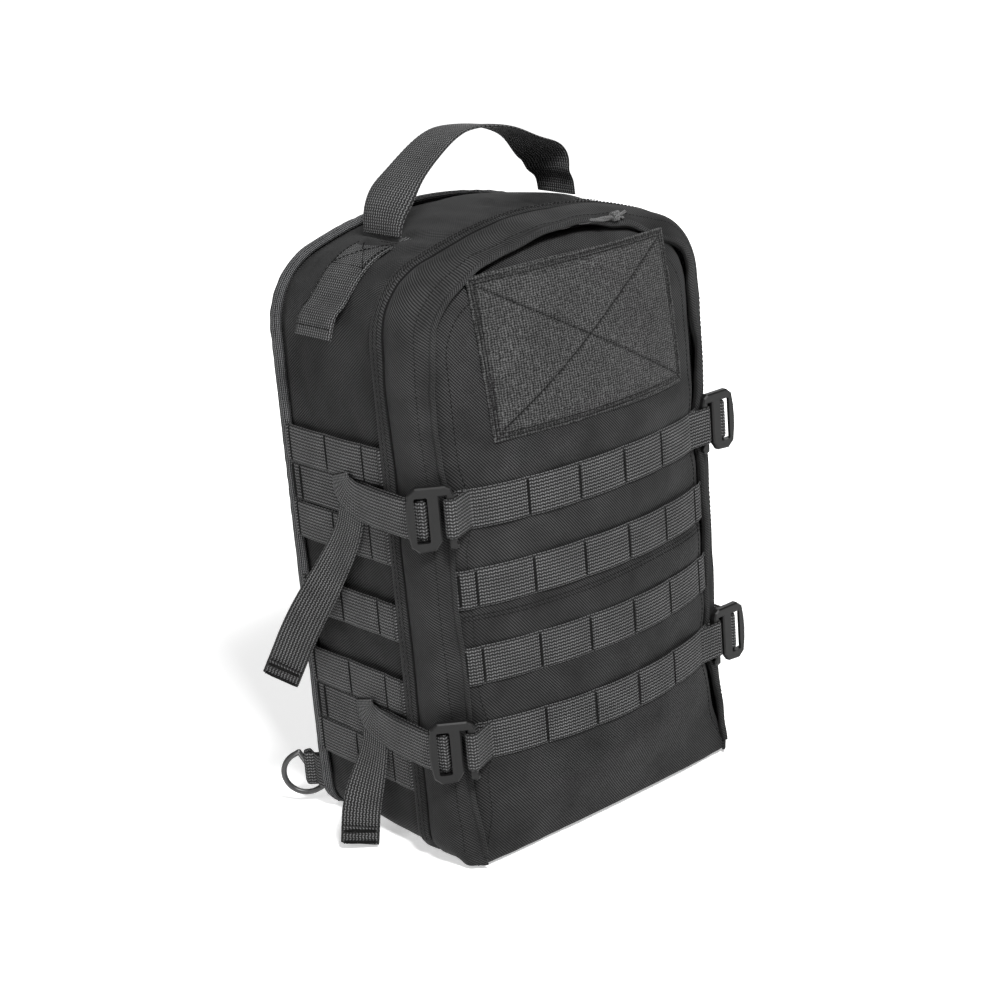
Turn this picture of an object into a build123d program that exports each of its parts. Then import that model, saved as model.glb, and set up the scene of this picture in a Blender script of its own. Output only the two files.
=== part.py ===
"""Compact clamshell trauma backpack, 250 mm wide, 160 mm deep and 402 mm tall without its handle, in millimetres.

Frame: origin on the ground at the middle of the bag's base, +X to the right seen from the front,
+Y towards the wearer's back, +Z up.
The soft goods are plain closed solids of the true size; buckles, rings and zip hardware are
modelled in full.
"""
from build123d import *
from math import sin, cos, radians, sqrt, atan2, degrees, hypot
import os

os.makedirs("parts", exist_ok=True)

# ---------------------------------------------------------------- driving dimensions
left, right = -1, 1      # a side is the sign of its X
side_names = {left: "left", right: "right"}
rearwards = Vector(0, 1, 0)

half_w = 123.5           # gusset half width
wall = 2.0               # gusset fabric with its padding
# y, height of the domed top
gusset_stations = [(-50.0, 395.0), (-28.0, 395.0), (15.0, 402.0), (72.0, 394.0)]
front_y = gusset_stations[0][0]
back_y, back_h = gusset_stations[-1]
back_face_y = back_y + 3.0               # rear face of the back panel
crown_y, crown_z = gusset_stations[2]    # highest station
crown_r = 283.0          # radius of the arched top in the front view
top_r, bottom_r = 50.0, 20.0             # corner radii in the front view

flap_half, flap_h, flap_t = 125.5, 397.0, 1.7    # storm flap over the zip
flap_back_y, flap_front_y = -30.0, -66.0
flap_curl_r = 13.0
flap_foot_z = 24.0
opening_half, opening_h = 114.5, 393.0           # between the flap's free edges

tray_half = 112.5        # front panel half width
tray_top, tray_bottom = 385.0, 4.0
tray_back_y = -54.2
tray_corner_y, tray_apex_y = -64.0, -88.0
tray_bow = tray_corner_y - tray_apex_y
tray_bow_r = (tray_half**2 + tray_bow**2) / (2 * tray_bow)
tray_t = 2.2
flare_z = 54.0           # below this the front panel flares to a square bottom

web = 25.0               # webbing width
web_t = 1.5
tack_pitch = 38.1
row_pitch = 50.8
front_row_z = [82.7 + row_pitch * i for i in range(4)]    # centres, lowest first
side_row_z = [front_row_z[0] - row_pitch / 2 + row_pitch * i for i in range(5)]
hook_z = {"upper": front_row_z[-1], "lower": front_row_z[0]}


# ---------------------------------------------------------------- shared shapes
def save(label, part):
    part.label = label
    export_step(part, f"parts/{label}.step")


def crown_drop(x):
    """Fall of the arched top from its middle to x."""
    return crown_r - sqrt(crown_r**2 - x * x)


def arch(sketch, half, height, upper_r, lower_r, bottom=0.0):
    """Front-view outline: straight sides, an arched top and rounded corners."""
    shoulder = height - crown_drop(half)
    with BuildLine() as outline:
        Line((-half, bottom), (half, bottom))
        Line((half, bottom), (half, shoulder))
        ThreePointArc((half, shoulder), (0, height), (-half, shoulder))
        Line((-half, shoulder), (-half, bottom))
    make_face(outline.edges())
    fillet(sketch.vertices().group_by(Axis.Y)[-1], upper_r)
    fillet(sketch.vertices().group_by(Axis.Y)[0], lower_r)


def arch_sketch(y, half, height, upper_r, lower_r, bottom=0.0):
    """The arched outline in the plane at y; it extrudes forward."""
    with BuildSketch(Plane.XZ.offset(-y)) as s:
        arch(s, half, height, upper_r, lower_r, bottom)
    return s.sketch


def arch_block(y0, y1, half, height, upper_r, lower_r):
    """Closed block with the arched outline, from y0 forward to y1."""
    with BuildPart() as block:
        extrude(arch_sketch(y0, half, height, upper_r, lower_r), amount=y0 - y1)
    return block.part


def polygon(points):
    """Closed face for an open sketch."""
    with BuildLine() as outline:
        Polyline(*points, close=True)
    make_face(outline.edges())


def arc_band(first, second):
    """Face between two three-point arcs, for an open sketch."""
    with BuildLine() as outline:
        ThreePointArc(*first)
        Line(first[2], second[2])
        ThreePointArc(second[2], second[1], second[0])
        Line(second[0], first[0])
    make_face(outline.edges())


def ribbon(points, thickness):
    """Flat band seen on edge along a polyline, for an open sketch."""
    for (x0, y0), (x1, y1) in zip(points, points[1:]):
        angle = degrees(atan2(y1 - y0, x1 - x0))
        with Locations(Location(((x0 + x1) / 2, (y0 + y1) / 2, 0), (0, 0, angle))):
            Rectangle(hypot(x1 - x0, y1 - y0), thickness)
    for point in points[1:-1]:
        with Locations(point):
            Circle(thickness / 2)


def tray_y(x, off=0.0):
    """Front surface of the bowed front panel at x, off millimetres outside it."""
    r = tray_bow_r + off
    return tray_apex_y - off + r - sqrt(r * r - x * x)


def tray_arc(half, off):
    return [(x, tray_y(x, off)) for x in (-half, 0, half)]


# ---------------------------------------------------------------- main compartment shell
def side_gusset():
    """One band of fabric round the sides, top and base, highest a little behind the middle."""
    with BuildPart() as gusset:
        for inset, mode in ((0.0, Mode.ADD), (wall, Mode.SUBTRACT)):
            for pair in zip(gusset_stations, gusset_stations[1:]):
                for y, h in pair:
                    with BuildSketch(Plane.XZ.offset(-y)) as s:
                        arch(s, half_w - inset, h - inset, top_r - inset, bottom_r - inset, inset)
                loft(ruled=True, mode=mode)
    return gusset.part


def base_lip():
    """Closes the floor of the bag between the gusset and the front panel's hinge seam."""
    rear_y = front_y - 0.3
    outline = [(-99, rear_y), (99, rear_y), (111, -62), (111, -74.5), (0, -77.5), (-111, -74.5),
               (-111, -62)]    # x, y
    with BuildPart() as lip:
        with BuildSketch(Plane.XY):
            polygon(outline)
        extrude(amount=wall)
        fillet(lip.edges().filter_by(Axis.Z).group_by(Axis.Y)[-1], 4)
    return lip.part


def back_panel():
    """Panel sewn to the rear edge of the gusset."""
    with BuildPart() as panel:
        extrude(arch_sketch(back_face_y, half_w, back_h, top_r, bottom_r), amount=2.8)
        fillet(panel.faces().sort_by(Axis.Y)[-1].edges(), 1.0)
    return panel.part


def seam_binding():
    """Binding tape over the rear seam, inside the bag."""
    tape_t, tape_w = 1.2, 9
    with BuildPart() as binding:
        with BuildSketch(Plane.XZ.offset(-back_y + 1.0)) as s:
            arch(s, half_w - wall - 0.3, back_h - wall - 0.4, top_r - wall, bottom_r - wall,
                 wall + 0.3)
            offset(amount=-tape_t, mode=Mode.SUBTRACT)
        extrude(amount=tape_w)
    return binding.part


def storm_flap():
    """Covers the zip on both sides and the top; its free edge curls over the front corner."""
    upper_r, lower_r = top_r + 2, bottom_r + 2
    with BuildPart() as flap:
        add(arch_block(flap_back_y, flap_front_y, flap_half, flap_h, upper_r, lower_r))
        fillet(flap.faces().sort_by(Axis.Y)[0].edges(), flap_curl_r)
        core = arch_block(flap_back_y, flap_front_y + flap_t, flap_half - flap_t, flap_h - flap_t,
                          upper_r - flap_t, lower_r - flap_t)
        core = core.fillet(flap_curl_r - flap_t, core.faces().sort_by(Axis.Y)[0].edges())
        add(core, mode=Mode.SUBTRACT)
        add(arch_block(flap_back_y, flap_front_y - 20, opening_half, opening_h, top_r - 4, 5),
            mode=Mode.SUBTRACT)
        with Locations((0, -50, 0)):
            Box(400, 100, 2 * flap_foot_z, mode=Mode.SUBTRACT)
    return flap.part


# ---------------------------------------------------------------- zip
zip_y = -53.0            # plane of the zip
zip_foot_z = 26.0
coil_top_z = 388.8       # top of the coil's arched centre line
slider_x = {left: -14.0, right: 3.0}     # the sliders meet near the middle of the top
slide_travel = 24.0
cord_r = 1.1
cord_y = -57.5           # where the cord passes the slider's bridge
# x, y, z of each pull cord after its first bend. The right cord lies out from under the flap
# along the top of the front panel; the left cord is tucked under the flap.
cord_runs = {
    right: [(16.0, -66.5, 388.9), (30.0, -70.8, 388.6), (40.0, -71.5, 388.2)],
    left: [(-28.0, -59.5, 387.6), (-44.0, -59.2, 385.9)],
}
knot_r = {left: 3.0, right: 3.6}


def coil_z(x):
    return coil_top_z - crown_drop(x)


def zip_band(half, height, corner_r, band_w, front, depth):
    """A flat band round the two sides and the top; front is its front face's y."""
    with BuildPart() as ring:
        add(arch_block(front + depth, front, half, height, corner_r, 5))
        add(arch_block(front + depth, front, half - band_w, height - band_w, corner_r - band_w, 5),
            mode=Mode.SUBTRACT)
        with Locations((0, front, 0)):
            Box(400, 40, 2 * zip_foot_z, mode=Mode.SUBTRACT)
    return ring.part


def zip_tape_body():
    """Body half of the zip: tape sewn inside the gusset's front edge, with its coil."""
    with BuildPart() as tape:
        add(zip_band(121.2, 392.7, 47.7, band_w=3.3, front=zip_y - 0.5, depth=1.0))
        add(zip_band(118.5, 390.0, 45.0, band_w=2.4, front=zip_y - 1.2, depth=2.4))
    return tape.part


def zip_tape_panel():
    """Panel half of the zip: tape sewn behind the front panel's rim, with its coil."""
    with BuildPart() as tape:
        add(zip_band(111.5, 384.0, 43.0, band_w=12.0, front=zip_y - 0.5, depth=1.0))
        add(zip_band(113.4, 385.9, 44.9, band_w=2.4, front=zip_y - 0.5, depth=1.7))
    return tape.part


def zip_slider(side):
    """Two plates joined by a thin rib under the coil, with a cord bridge on the outer plate."""
    plate_l, plate_h, plate_r, plate_t = 11.5, 5.4, 1.6, 1.5
    x = slider_x[side]
    x_mid = x + side * slide_travel / 2
    tilt = atan2(-x_mid, crown_r)
    z = coil_z(x_mid) - 0.1 - sin(tilt) * (x_mid - x)
    plane = Plane(origin=(x, zip_y, z), x_dir=(cos(tilt), 0, sin(tilt)), z_dir=(0, -1, 0))
    bridge_plane = Plane(origin=plane.origin, x_dir=plane.x_dir, z_dir=plane.y_dir)
    with BuildPart() as slider:
        for plate_start in (-3.2, 1.7):
            with BuildSketch(plane.offset(plate_start)):
                RectangleRounded(plate_l, plate_h, plate_r)
            extrude(amount=plate_t)
        with BuildSketch(plane.offset(-2.0)):
            with Locations((0, -2.35)):
                RectangleRounded(9.0, 0.7, 0.2)
        extrude(amount=4.0)
        with BuildSketch(bridge_plane.offset(-0.7)):
            with Locations((0, -4.0)):
                SlotOverall(9.6, 6.6)
            with Locations((0, -4.4)):
                SlotOverall(6.6, 3.6, mode=Mode.SUBTRACT)
            Rectangle(14, 6.3, mode=Mode.SUBTRACT)
        extrude(amount=2.0)
    return slider.part


def pull_cord(side):
    """A cord through the slider's bridge, ending in a knot with a short tip."""
    x = slider_x[side]
    bridge_z = coil_z(x)
    points = [(x, cord_y, bridge_z - 2.2), (x + side * 6.5, -60.5, bridge_z - 2.0)]
    points += cord_runs[side]
    end_x, end_y, end_z = points[-1]
    with BuildPart() as cord:
        for a, b in zip(points, points[1:]):
            start, run = Vector(*a), Vector(*b) - Vector(*a)
            with BuildSketch(Plane(origin=start, z_dir=run.normalized())):
                Circle(cord_r)
            extrude(amount=run.length + 0.15)
        with Locations((x, cord_y, bridge_z + 0.2)):
            Cylinder(cord_r + 0.12, 5.0)
        with Locations((end_x + side * 2.6, end_y + 0.9, end_z + 0.2)):
            Sphere(knot_r[side], rotation=(0, 0, 90))
        with Locations((end_x + side * 7.6, end_y + 0.6, end_z - 0.1)):
            Box(7.0, 3.0, 2.8)
    return cord.part


# ---------------------------------------------------------------- front panel
def tray_plan(z, half, corner_y, apex_y, rear_y, corner_r):
    """Plan section with a bowed front and rounded front corners."""
    with BuildSketch(Plane.XY.offset(z)) as s:
        with BuildLine():
            ThreePointArc((-half, corner_y), (0, apex_y), (half, corner_y))
            Line((half, corner_y), (half, rear_y))
            Line((half, rear_y), (-half, rear_y))
            Line((-half, rear_y), (-half, corner_y))
        make_face()
        fillet([v for v in s.vertices() if v.Y < rear_y - 1], corner_r)
    return s.sketch


def tray_block(half, top, bottom, inset, rear_y):
    """Closed block of the front panel, its front drawn in by inset."""
    corner_r = 8.5 - inset
    apex_y = tray_apex_y + inset
    with BuildPart() as block:
        low = tray_plan(bottom, half, -75.0 + inset, -78.0 + inset, rear_y, corner_r)
        high = tray_plan(flare_z, half, tray_corner_y + inset, apex_y, rear_y, corner_r)
        loft([low.face(), high.face()], ruled=True)
        extrude(high, amount=top - flare_z)
        add(arch_block(-30, -100, half, top, 46 - inset, 6), mode=Mode.INTERSECT)
        # side profile: the front leans back towards the top
        with BuildSketch(Plane.YZ.offset(-130)):
            with BuildLine():
                Polyline((apex_y + 20, 385), (apex_y + 20, 400), (-30, 400), (-30, 0), (-110, 0),
                         (-110, 235), (apex_y - 1.5, 235))
                ThreePointArc((apex_y - 1.5, 235), (apex_y + 4.4, 315), (apex_y + 20, 385))
            make_face()
        extrude(amount=260, mode=Mode.INTERSECT)
    return block.part


def front_panel():
    """Shallow padded tray whose rim slides inside the storm flap, drawn in at the hooks."""
    rim_x, relief_w, relief_h = 107.5, 20, 49.4
    with BuildPart() as panel:
        add(tray_block(tray_half, tray_top, tray_bottom, 0.0, tray_back_y))
        for z in hook_z.values():
            for side in (left, right):
                with Locations((side * (rim_x + relief_w / 2), -75, z - 1.7)):
                    Box(relief_w, 60, relief_h, mode=Mode.SUBTRACT)
        add(tray_block(105.2, tray_top - tray_t, tray_bottom + tray_t, tray_t, tray_back_y + 5),
            mode=Mode.SUBTRACT)
    return panel.part


def loop_field():
    """Loop field for patches, sewn flat on the upper front."""
    outer, inner = -2.0, -0.4    # insets of its two faces
    inner_back_y = tray_back_y + 9
    with BuildPart() as field:
        add(tray_block(tray_half, tray_top, tray_bottom, outer, tray_back_y))
        add(tray_block(tray_half, tray_top, tray_bottom, inner, inner_back_y), mode=Mode.SUBTRACT)
        with Locations((0, -75, 319.5)):
            Box(164, 60, 99, mode=Mode.INTERSECT)
        add(tray_block(tray_half, tray_top + 6, tray_bottom, inner, inner_back_y),
            mode=Mode.SUBTRACT)
    return field.part


# ---------------------------------------------------------------- attachment webbing
front_gap, side_gap = 0.5, 0.3           # webbing stands this far off the panel


def front_webbing_row(z, half):
    """Row of webbing along the bowed front, with six lines of tacking."""
    face_off = front_gap + web_t
    with BuildPart() as row:
        with BuildSketch(Plane.XY.offset(z - web / 2)):
            arc_band(tray_arc(half, front_gap), tray_arc(half, face_off))
        extrude(amount=web)
        for i in range(6):
            x = (i - 2.5) * tack_pitch
            with Locations((x, tray_y(x, face_off) + 0.1, z)):
                Box(1.2, 0.9, web - 2)
    return row.part


def side_webbing(side):
    """Five rows of webbing on one side of the gusset."""
    rear_tack_y = 66
    tacks = [rear_tack_y - tack_pitch * i for i in range(3)] + [-26]
    with BuildPart() as rows:
        for z in side_row_z:
            with Locations((side * (half_w + side_gap + web_t / 2), 20.5, z)):
                Box(web_t, 99, web)
            for y in tacks:
                with Locations((side * (half_w + side_gap + web_t), y, z)):
                    Box(0.7, 1.2, web - 2)
    return rows.part


# ---------------------------------------------------------------- compression straps and hooks
post = {left: (-112.0, -76.2), right: (111.5, -70.0)}       # plan position of the hook's post
loop_end = {left: (-106.4, -73.2), right: (106.3, -72.6)}   # far end of the loop round it
hook_dir = {left: (0.788, -0.616), right: (-1.0, 0.0)}      # in plan, strap end to post
hook_t = 5.0
bar_x = -17.2            # middle bar, along the hook from the post
strap_t = 1.3            # each layer of the free end
base_t = 1.4             # each layer of the sewn base
fold_y = -20.0           # where the free end of the strap starts
base_x = half_w + 1.2    # middle of the strap's base layer
# tucked tail: slope in degrees, length, lean in degrees
tails = {"upper": (32.0, 138.0, 9.0), "lower": (3.0, 66.0, 8.0)}
# Hook outline: distance along hook_dir from the post, height. The post is the open bar at x = 0.
hook_outline = [
    (2.3, 14.0), (2.3, -14.6), (3.4, -16.4), (3.0, -18.6), (0.6, -19.8), (-2.2, -18.6),
    (-2.3, -14.6), (-2.3, 14.2), (-6.4, 14.2), (-6.4, -13.5), (-10.6, -19.6), (-20.6, -20.4),
    (-25.4, -16.5), (-26.8, -8), (-27.2, 0), (-26.8, 8), (-25.4, 16.5), (-20.6, 20.4),
    (-2.4, 20.4), (0.8, 18.4),
]


def hook_normal(side):
    """Outward direction of the hook in plan."""
    x, y = hook_dir[side]
    return (-side * y, side * x)


def hook_point(side, along, outward):
    """Plan position of a point along the hook from its post and outwards."""
    (px, py), (tx, ty), (nx, ny) = post[side], hook_dir[side], hook_normal(side)
    return (px + along * tx + outward * nx, py + along * ty + outward * ny)


# Plan paths of the free end's inner and outer layers: (start at the hook, the rest of the run)
strap_layers = {
    left: [
        (hook_point(left, bar_x, -3.9), [(-127.9, -60.0), (-127.3, -45.0), (-126.7, fold_y)]),
        (hook_point(left, -18.6, 0.85),
         [hook_point(left, -19.9, -0.5), (-130.3, -52.0), (-130.5, -40.0), (-130.2, fold_y)]),
    ],
    right: [
        ((126.0, -67.8), [(126.3, -66.0), (129.0, -56.0), (129.6, -42.0), (126.9, fold_y)]),
        ((130.6, -67.4), [(131.3, -65.6), (134.6, -54.0), (134.0, -38.0), (130.2, fold_y)]),
    ],
}


def hook_loops():
    """Webbing loops at both ends of the top and bottom rows; a post stands inside each."""
    outer_r, inner_r = 4.5, 3.2
    with BuildPart() as loops:
        for side in (left, right):
            (px, py), (qx, qy) = post[side], loop_end[side]
            length, angle = hypot(qx - px, qy - py), degrees(atan2(qy - py, qx - px))
            for z in hook_z.values():
                with BuildSketch(Plane.XY.offset(z - web / 2)):
                    with Locations(Location(((px + qx) / 2, (py + qy) / 2, 0), (0, 0, angle))):
                        SlotCenterToCenter(length, 2 * outer_r)
                        SlotCenterToCenter(length, 2 * inner_r, mode=Mode.SUBTRACT)
                extrude(amount=web)
    return loops.part


def strap_base(level, side):
    """Strap base, sewn into the rear seam, with the tucked tail hanging from it."""
    z = hook_z[level]
    start_y = fold_y + 1.0
    slope, tail_l, lean = tails[level]
    slope, lean = radians(slope), radians(lean)
    tail_plane = Plane(
        origin=(side * (base_x + 1.5), 5, z - web / 2 + 3),
        x_dir=(0, cos(slope), sin(slope)),
        z_dir=(side * sin(lean), sin(slope) * cos(lean), -cos(slope) * cos(lean)),
    )
    with BuildPart() as base:
        for x, end_y in ((base_x, 68), (base_x + 1.9, 18)):
            with Locations((side * x, (end_y + start_y) / 2, z)):
                Box(base_t, end_y - start_y, web)
        with Locations((side * (base_x + 0.95), 17.3, z)):
            Box(3.3, base_t, web)
        with BuildSketch(tail_plane):
            Rectangle(web, base_t)
        extrude(amount=tail_l)
    return base.part


def hook(level, side):
    """A plate with an open post, an outer bar and a recessed middle bar for the strap."""
    window_h = 28.6
    plane = Plane(origin=(*post[side], hook_z[level]), x_dir=(*hook_dir[side], 0),
                  z_dir=(*hook_normal(side), 0))
    outward = Axis((0, 0, 0), (*hook_normal(side), 0))
    up = -side    # the plane's local y points up on the left and down on the right
    with BuildPart() as plate:
        with BuildSketch(plane.offset(-hook_t / 2)):
            polygon([(x, up * z) for x, z in hook_outline])
            with Locations((-17.7, 0)):
                RectangleRounded(8.2, window_h, 1.2, mode=Mode.SUBTRACT)
        extrude(amount=hook_t)
        chamfer(plate.faces().sort_by(outward)[-1].outer_wire().edges(), 0.9)
        chamfer(plate.faces().sort_by(outward)[0].outer_wire().edges(), 0.7)
        # the outer bar stands on the outward half only, so that the strap runs behind it
        with BuildSketch(plane.offset(-hook_t / 2 - 1)):
            with Locations((-26, 0)):
                Rectangle(12.4, window_h)
        extrude(amount=1 + hook_t / 2 + 0.4, mode=Mode.SUBTRACT)
        # recessed middle bar
        with BuildSketch(plane.offset(-2.2)):
            with Locations((bar_x, 0)):
                Rectangle(3.0, window_h + 1)
        extrude(amount=1.6)
    return plate.part


def strap_end(level, side):
    """Free end of the strap: round the hook's middle bar and back, two layers."""
    with BuildPart() as strap:
        with BuildSketch(Plane.XY.offset(hook_z[level] - web / 2)):
            with Locations(hook_point(side, bar_x, -1.4)):
                Circle(3.15)
                Circle(1.85, mode=Mode.SUBTRACT)
            for _, run in strap_layers[side]:
                ribbon(run, strap_t)
            for start, run in strap_layers[side]:
                ribbon([start, *run[:2]], strap_t)
            with Locations((side * 128.45, fold_y + 0.1)):
                Rectangle(5.0, strap_t)
        extrude(amount=web)
    return strap.part


# ---------------------------------------------------------------- carry handle
handle_w, handle_t = 38.0, 2.2
handle_y = crown_y
# x, z of the handle's arch
handle_path = [(-73, 396.4), (-68, 412), (-40, 435), (-8, 446), (28, 440), (58, 421), (71, 397.0)]


def carry_handle():
    with BuildPart() as handle:
        with BuildLine(Plane.XZ.offset(-handle_y)) as path:
            Spline(*handle_path)
        with BuildSketch(Plane(origin=path.line @ 0, z_dir=path.line % 0, x_dir=(0, 1, 0))):
            Rectangle(handle_w, handle_t)
        sweep()
    return handle.part


def handle_tabs():
    """Sewn ends of the handle, over the bag's shoulders, each ending in a free double tab."""
    centre_x = half_w - top_r
    centre_z = crown_z - crown_r + sqrt((crown_r - top_r) ** 2 - centre_x**2)
    inner_r = top_r + 0.7
    outer_r = inner_r + 2.4
    start, end = radians(78), radians(20)
    middle = (start + end) / 2

    def on_corner(side, r, angle):
        return (side * (centre_x + r * cos(angle)), centre_z + r * sin(angle))

    with BuildPart() as tabs:
        for side in (left, right):
            inner = [on_corner(side, inner_r, angle) for angle in (start, middle, end)]
            outer = [on_corner(side, outer_r, start), on_corner(side, outer_r, middle),
                     on_corner(side, outer_r + 1.2, end)]
            with BuildSketch(Plane.XZ.offset(-(handle_y + handle_w / 2))):
                with BuildLine():
                    ThreePointArc(*inner)
                    Polyline(inner[2], (side * 132.8, 332), (side * 136.6, 333.0), outer[2])
                    ThreePointArc(outer[2], outer[1], outer[0])
                    Line(outer[0], inner[0])
                make_face()
            extrude(amount=handle_w)
    return tabs.part


# ---------------------------------------------------------------- D-rings on the lower rear corners
wire_r = 1.9
ring_in = 12.9           # inner half width
ring_r = ring_in + wire_r
ring_straight = 4.5      # legs between the bar and the bow
ring_tilt = radians(28)
tab_r, tab_w = 3.6, 24


def ring_frame(side):
    """Centre of the straight bar, the bar's direction and the direction of the bow."""
    out = Vector(side * 0.72, 0.694, 0)
    bar_dir = out * sin(ring_tilt) + Vector(0, 0, 1) * cos(ring_tilt)
    bow_dir = out * cos(ring_tilt) - Vector(0, 0, 1) * sin(ring_tilt)
    return Vector(side * 124.2, 87.6, 24.0), bar_dir, bow_dir


def d_ring(side):
    centre, bar_dir, bow_dir = ring_frame(side)
    plane = Plane(origin=centre, x_dir=bow_dir, z_dir=bow_dir.cross(bar_dir))
    with BuildPart() as ring:
        with BuildSketch(Plane(origin=plane.from_local_coords((0, -ring_r, 0)), z_dir=bar_dir)):
            Circle(wire_r)
        extrude(amount=2 * ring_r)
        with BuildLine(plane) as bow:
            Line((0, ring_r), (ring_straight, ring_r))
            ThreePointArc((ring_straight, ring_r), (ring_straight + ring_r, 0),
                          (ring_straight, -ring_r))
            Line((ring_straight, -ring_r), (0, -ring_r))
        with BuildSketch(Plane(origin=plane.from_local_coords((0, ring_r, 0)), z_dir=bow_dir)):
            Circle(wire_r)
        sweep(path=bow.line)
        for y in (-ring_r, ring_r):
            with Locations(plane.from_local_coords((0, y, 0))):
                Sphere(wire_r)
    return ring.part


def d_ring_tab(side):
    """Webbing tab that holds the ring's straight bar."""
    centre, bar_dir, bow_dir = ring_frame(side)
    with BuildPart() as tab:
        with BuildSketch(Plane(origin=centre - bar_dir * (tab_w / 2), x_dir=bow_dir, z_dir=bar_dir)):
            with Locations((-4.2, 0)):
                SlotOverall(8.4 + 2 * tab_r, 2 * tab_r)
            Circle(wire_r + 0.35, mode=Mode.SUBTRACT)
        extrude(amount=tab_w)
    return tab.part


# ---------------------------------------------------------------- back system
anchor_y = 84.0
top_anchor_x, top_anchor_z = 46, 372.0
low_anchor_x, low_anchor_z = 92, 36.0
pad_gap = 0.3            # between the back panel and what lies on it
shoulder_w, neck_w = 58, 38


def strap_line(side):
    """Upper anchor, direction down the strap and distance to the lower anchor."""
    top = Vector(side * top_anchor_x, anchor_y, top_anchor_z)
    run = Vector(side * low_anchor_x, anchor_y, low_anchor_z) - top
    return top, run.normalized(), run.length


def strap_plane(side, width):
    """Edge plane of a strap: local x runs down the strap, local y is rearwards."""
    top, down, _ = strap_line(side)
    return Plane(origin=top, x_dir=down, z_dir=down.cross(rearwards)).offset(-width / 2)


def back_pads():
    """Two padded columns on the back panel with a free air channel between them."""
    pad_t = 8.0
    with BuildPart() as pads:
        with BuildSketch(Plane.XZ.offset(-(back_face_y + pad_gap + pad_t))):
            with Locations((-51, 205), (51, 205)):
                RectangleRounded(72, 290, 16)
        extrude(amount=pad_t)
        fillet(pads.faces().filter_by(Plane.XZ).sort_by(Axis.Y)[-2:].edges(), 5)
    return pads.part


def shoulder_strap(side):
    """Padded part of the shoulder strap."""
    with BuildPart() as strap:
        with BuildSketch(strap_plane(side, shoulder_w)):
            with BuildLine():
                Spline((12, 3.6), (60, 3.4), (120, 3.4), (190, 3.4), (236, 3.2))
                Line((236, 3.2), (238, 12.4))
                Spline((238, 12.4), (190, 14.4), (120, 15.0), (58, 14.6), (10, 11.6))
                Line((10, 11.6), (12, 3.6))
            make_face()
        extrude(amount=shoulder_w)
    return strap.part


def strap_neck(side):
    """Webbing neck between the upper anchor and the padded part."""
    with BuildPart() as neck:
        with BuildSketch(strap_plane(side, neck_w)):
            polygon([(-1.6, 0.0), (9.4, 5.6), (9.4, 9.4), (-3.6, 2.2)])
        extrude(amount=neck_w)
    return neck.part


def ladder_lock(side):
    """Ladder lock sewn to the strap's lower end."""
    lock_t = 4.0
    top, down, _ = strap_line(side)
    plane = Plane(origin=top + down * 252.5 + rearwards * 10.0, x_dir=down, z_dir=rearwards)
    with BuildPart() as lock:
        with BuildSketch(plane.offset(-lock_t / 2)):
            RectangleRounded(26, 34, 3)
            with Locations((-8.3, 0), (0.0, 0), (8.0, 0)):
                RectangleRounded(4.6, 26.6, 0.8, mode=Mode.SUBTRACT)
        extrude(amount=lock_t)
        chamfer(lock.faces().sort_by(Axis.Y)[-1].outer_wire().edges(), 0.6)
        chamfer(lock.faces().sort_by(Axis.Y)[0].outer_wire().edges(), 0.6)
    return lock.part


def lower_webbing(side):
    """Webbing from behind the ladder lock to the bottom anchor."""
    end = strap_line(side)[2] - 2.5
    with BuildPart() as webbing:
        with BuildSketch(strap_plane(side, web)):
            polygon([(254.0, 4.0), (300, 3.4), (end, 0.6), (end, 2.1), (300, 4.9), (254.0, 5.5)])
        extrude(amount=web)
    return webbing.part


def strap_anchors_top():
    """Upper yoke under the strap necks."""
    y0, y1 = back_face_y + 0.2, anchor_y - 3.2
    with BuildPart() as anchors:
        for side in (left, right):
            with Locations((side * top_anchor_x, (y0 + y1) / 2, top_anchor_z + 3)):
                Box(40, y1 - y0, 16)
    return anchors.part


def strap_anchors_low():
    """A wedge at each lower corner of the back panel."""
    wedge_w = 28
    y0, y1 = back_face_y + pad_gap, anchor_y - 2.2
    with BuildPart() as anchors:
        for side in (left, right):
            with BuildSketch(Plane.YZ.offset(side * low_anchor_x - wedge_w / 2)):
                polygon([(y0, 22), (y0, 46), (y1, low_anchor_z), (y1, 31.0)])
            extrude(amount=wedge_w)
    return anchors.part


# ---------------------------------------------------------------- sternum strap
buckle_w = 25
buckle_slot = (20.5, 3.2, 0.8)           # width, height, corner radius
buckle_slot_y = 4.0


def sternum_web_centre(side):
    """Middle of the hanging webbing."""
    top, down, _ = strap_line(side)
    return top + down * 112 + Vector(-side * 8, 17.4, -22)


def sternum_webbing(side):
    """Strap half: clip round the shoulder strap's edge and the hanging webbing."""
    top, down, _ = strap_line(side)
    with BuildPart() as webbing:
        with Locations(top + down * 105 + Vector(-side * 6, 16.8, 0)):
            Box(26, 2.0, 18)
        with Locations(sternum_web_centre(side)):
            Box(19.5, 1.4, 48)
    return webbing.part


def buckle_plane(side):
    """Plane at the webbing's lower end; local y points down, its normal rearwards."""
    return Plane(origin=sternum_web_centre(side) + Vector(0, 1.4, -24.6), x_dir=(1, 0, 0),
                 z_dir=(0, 1, 0))


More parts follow.
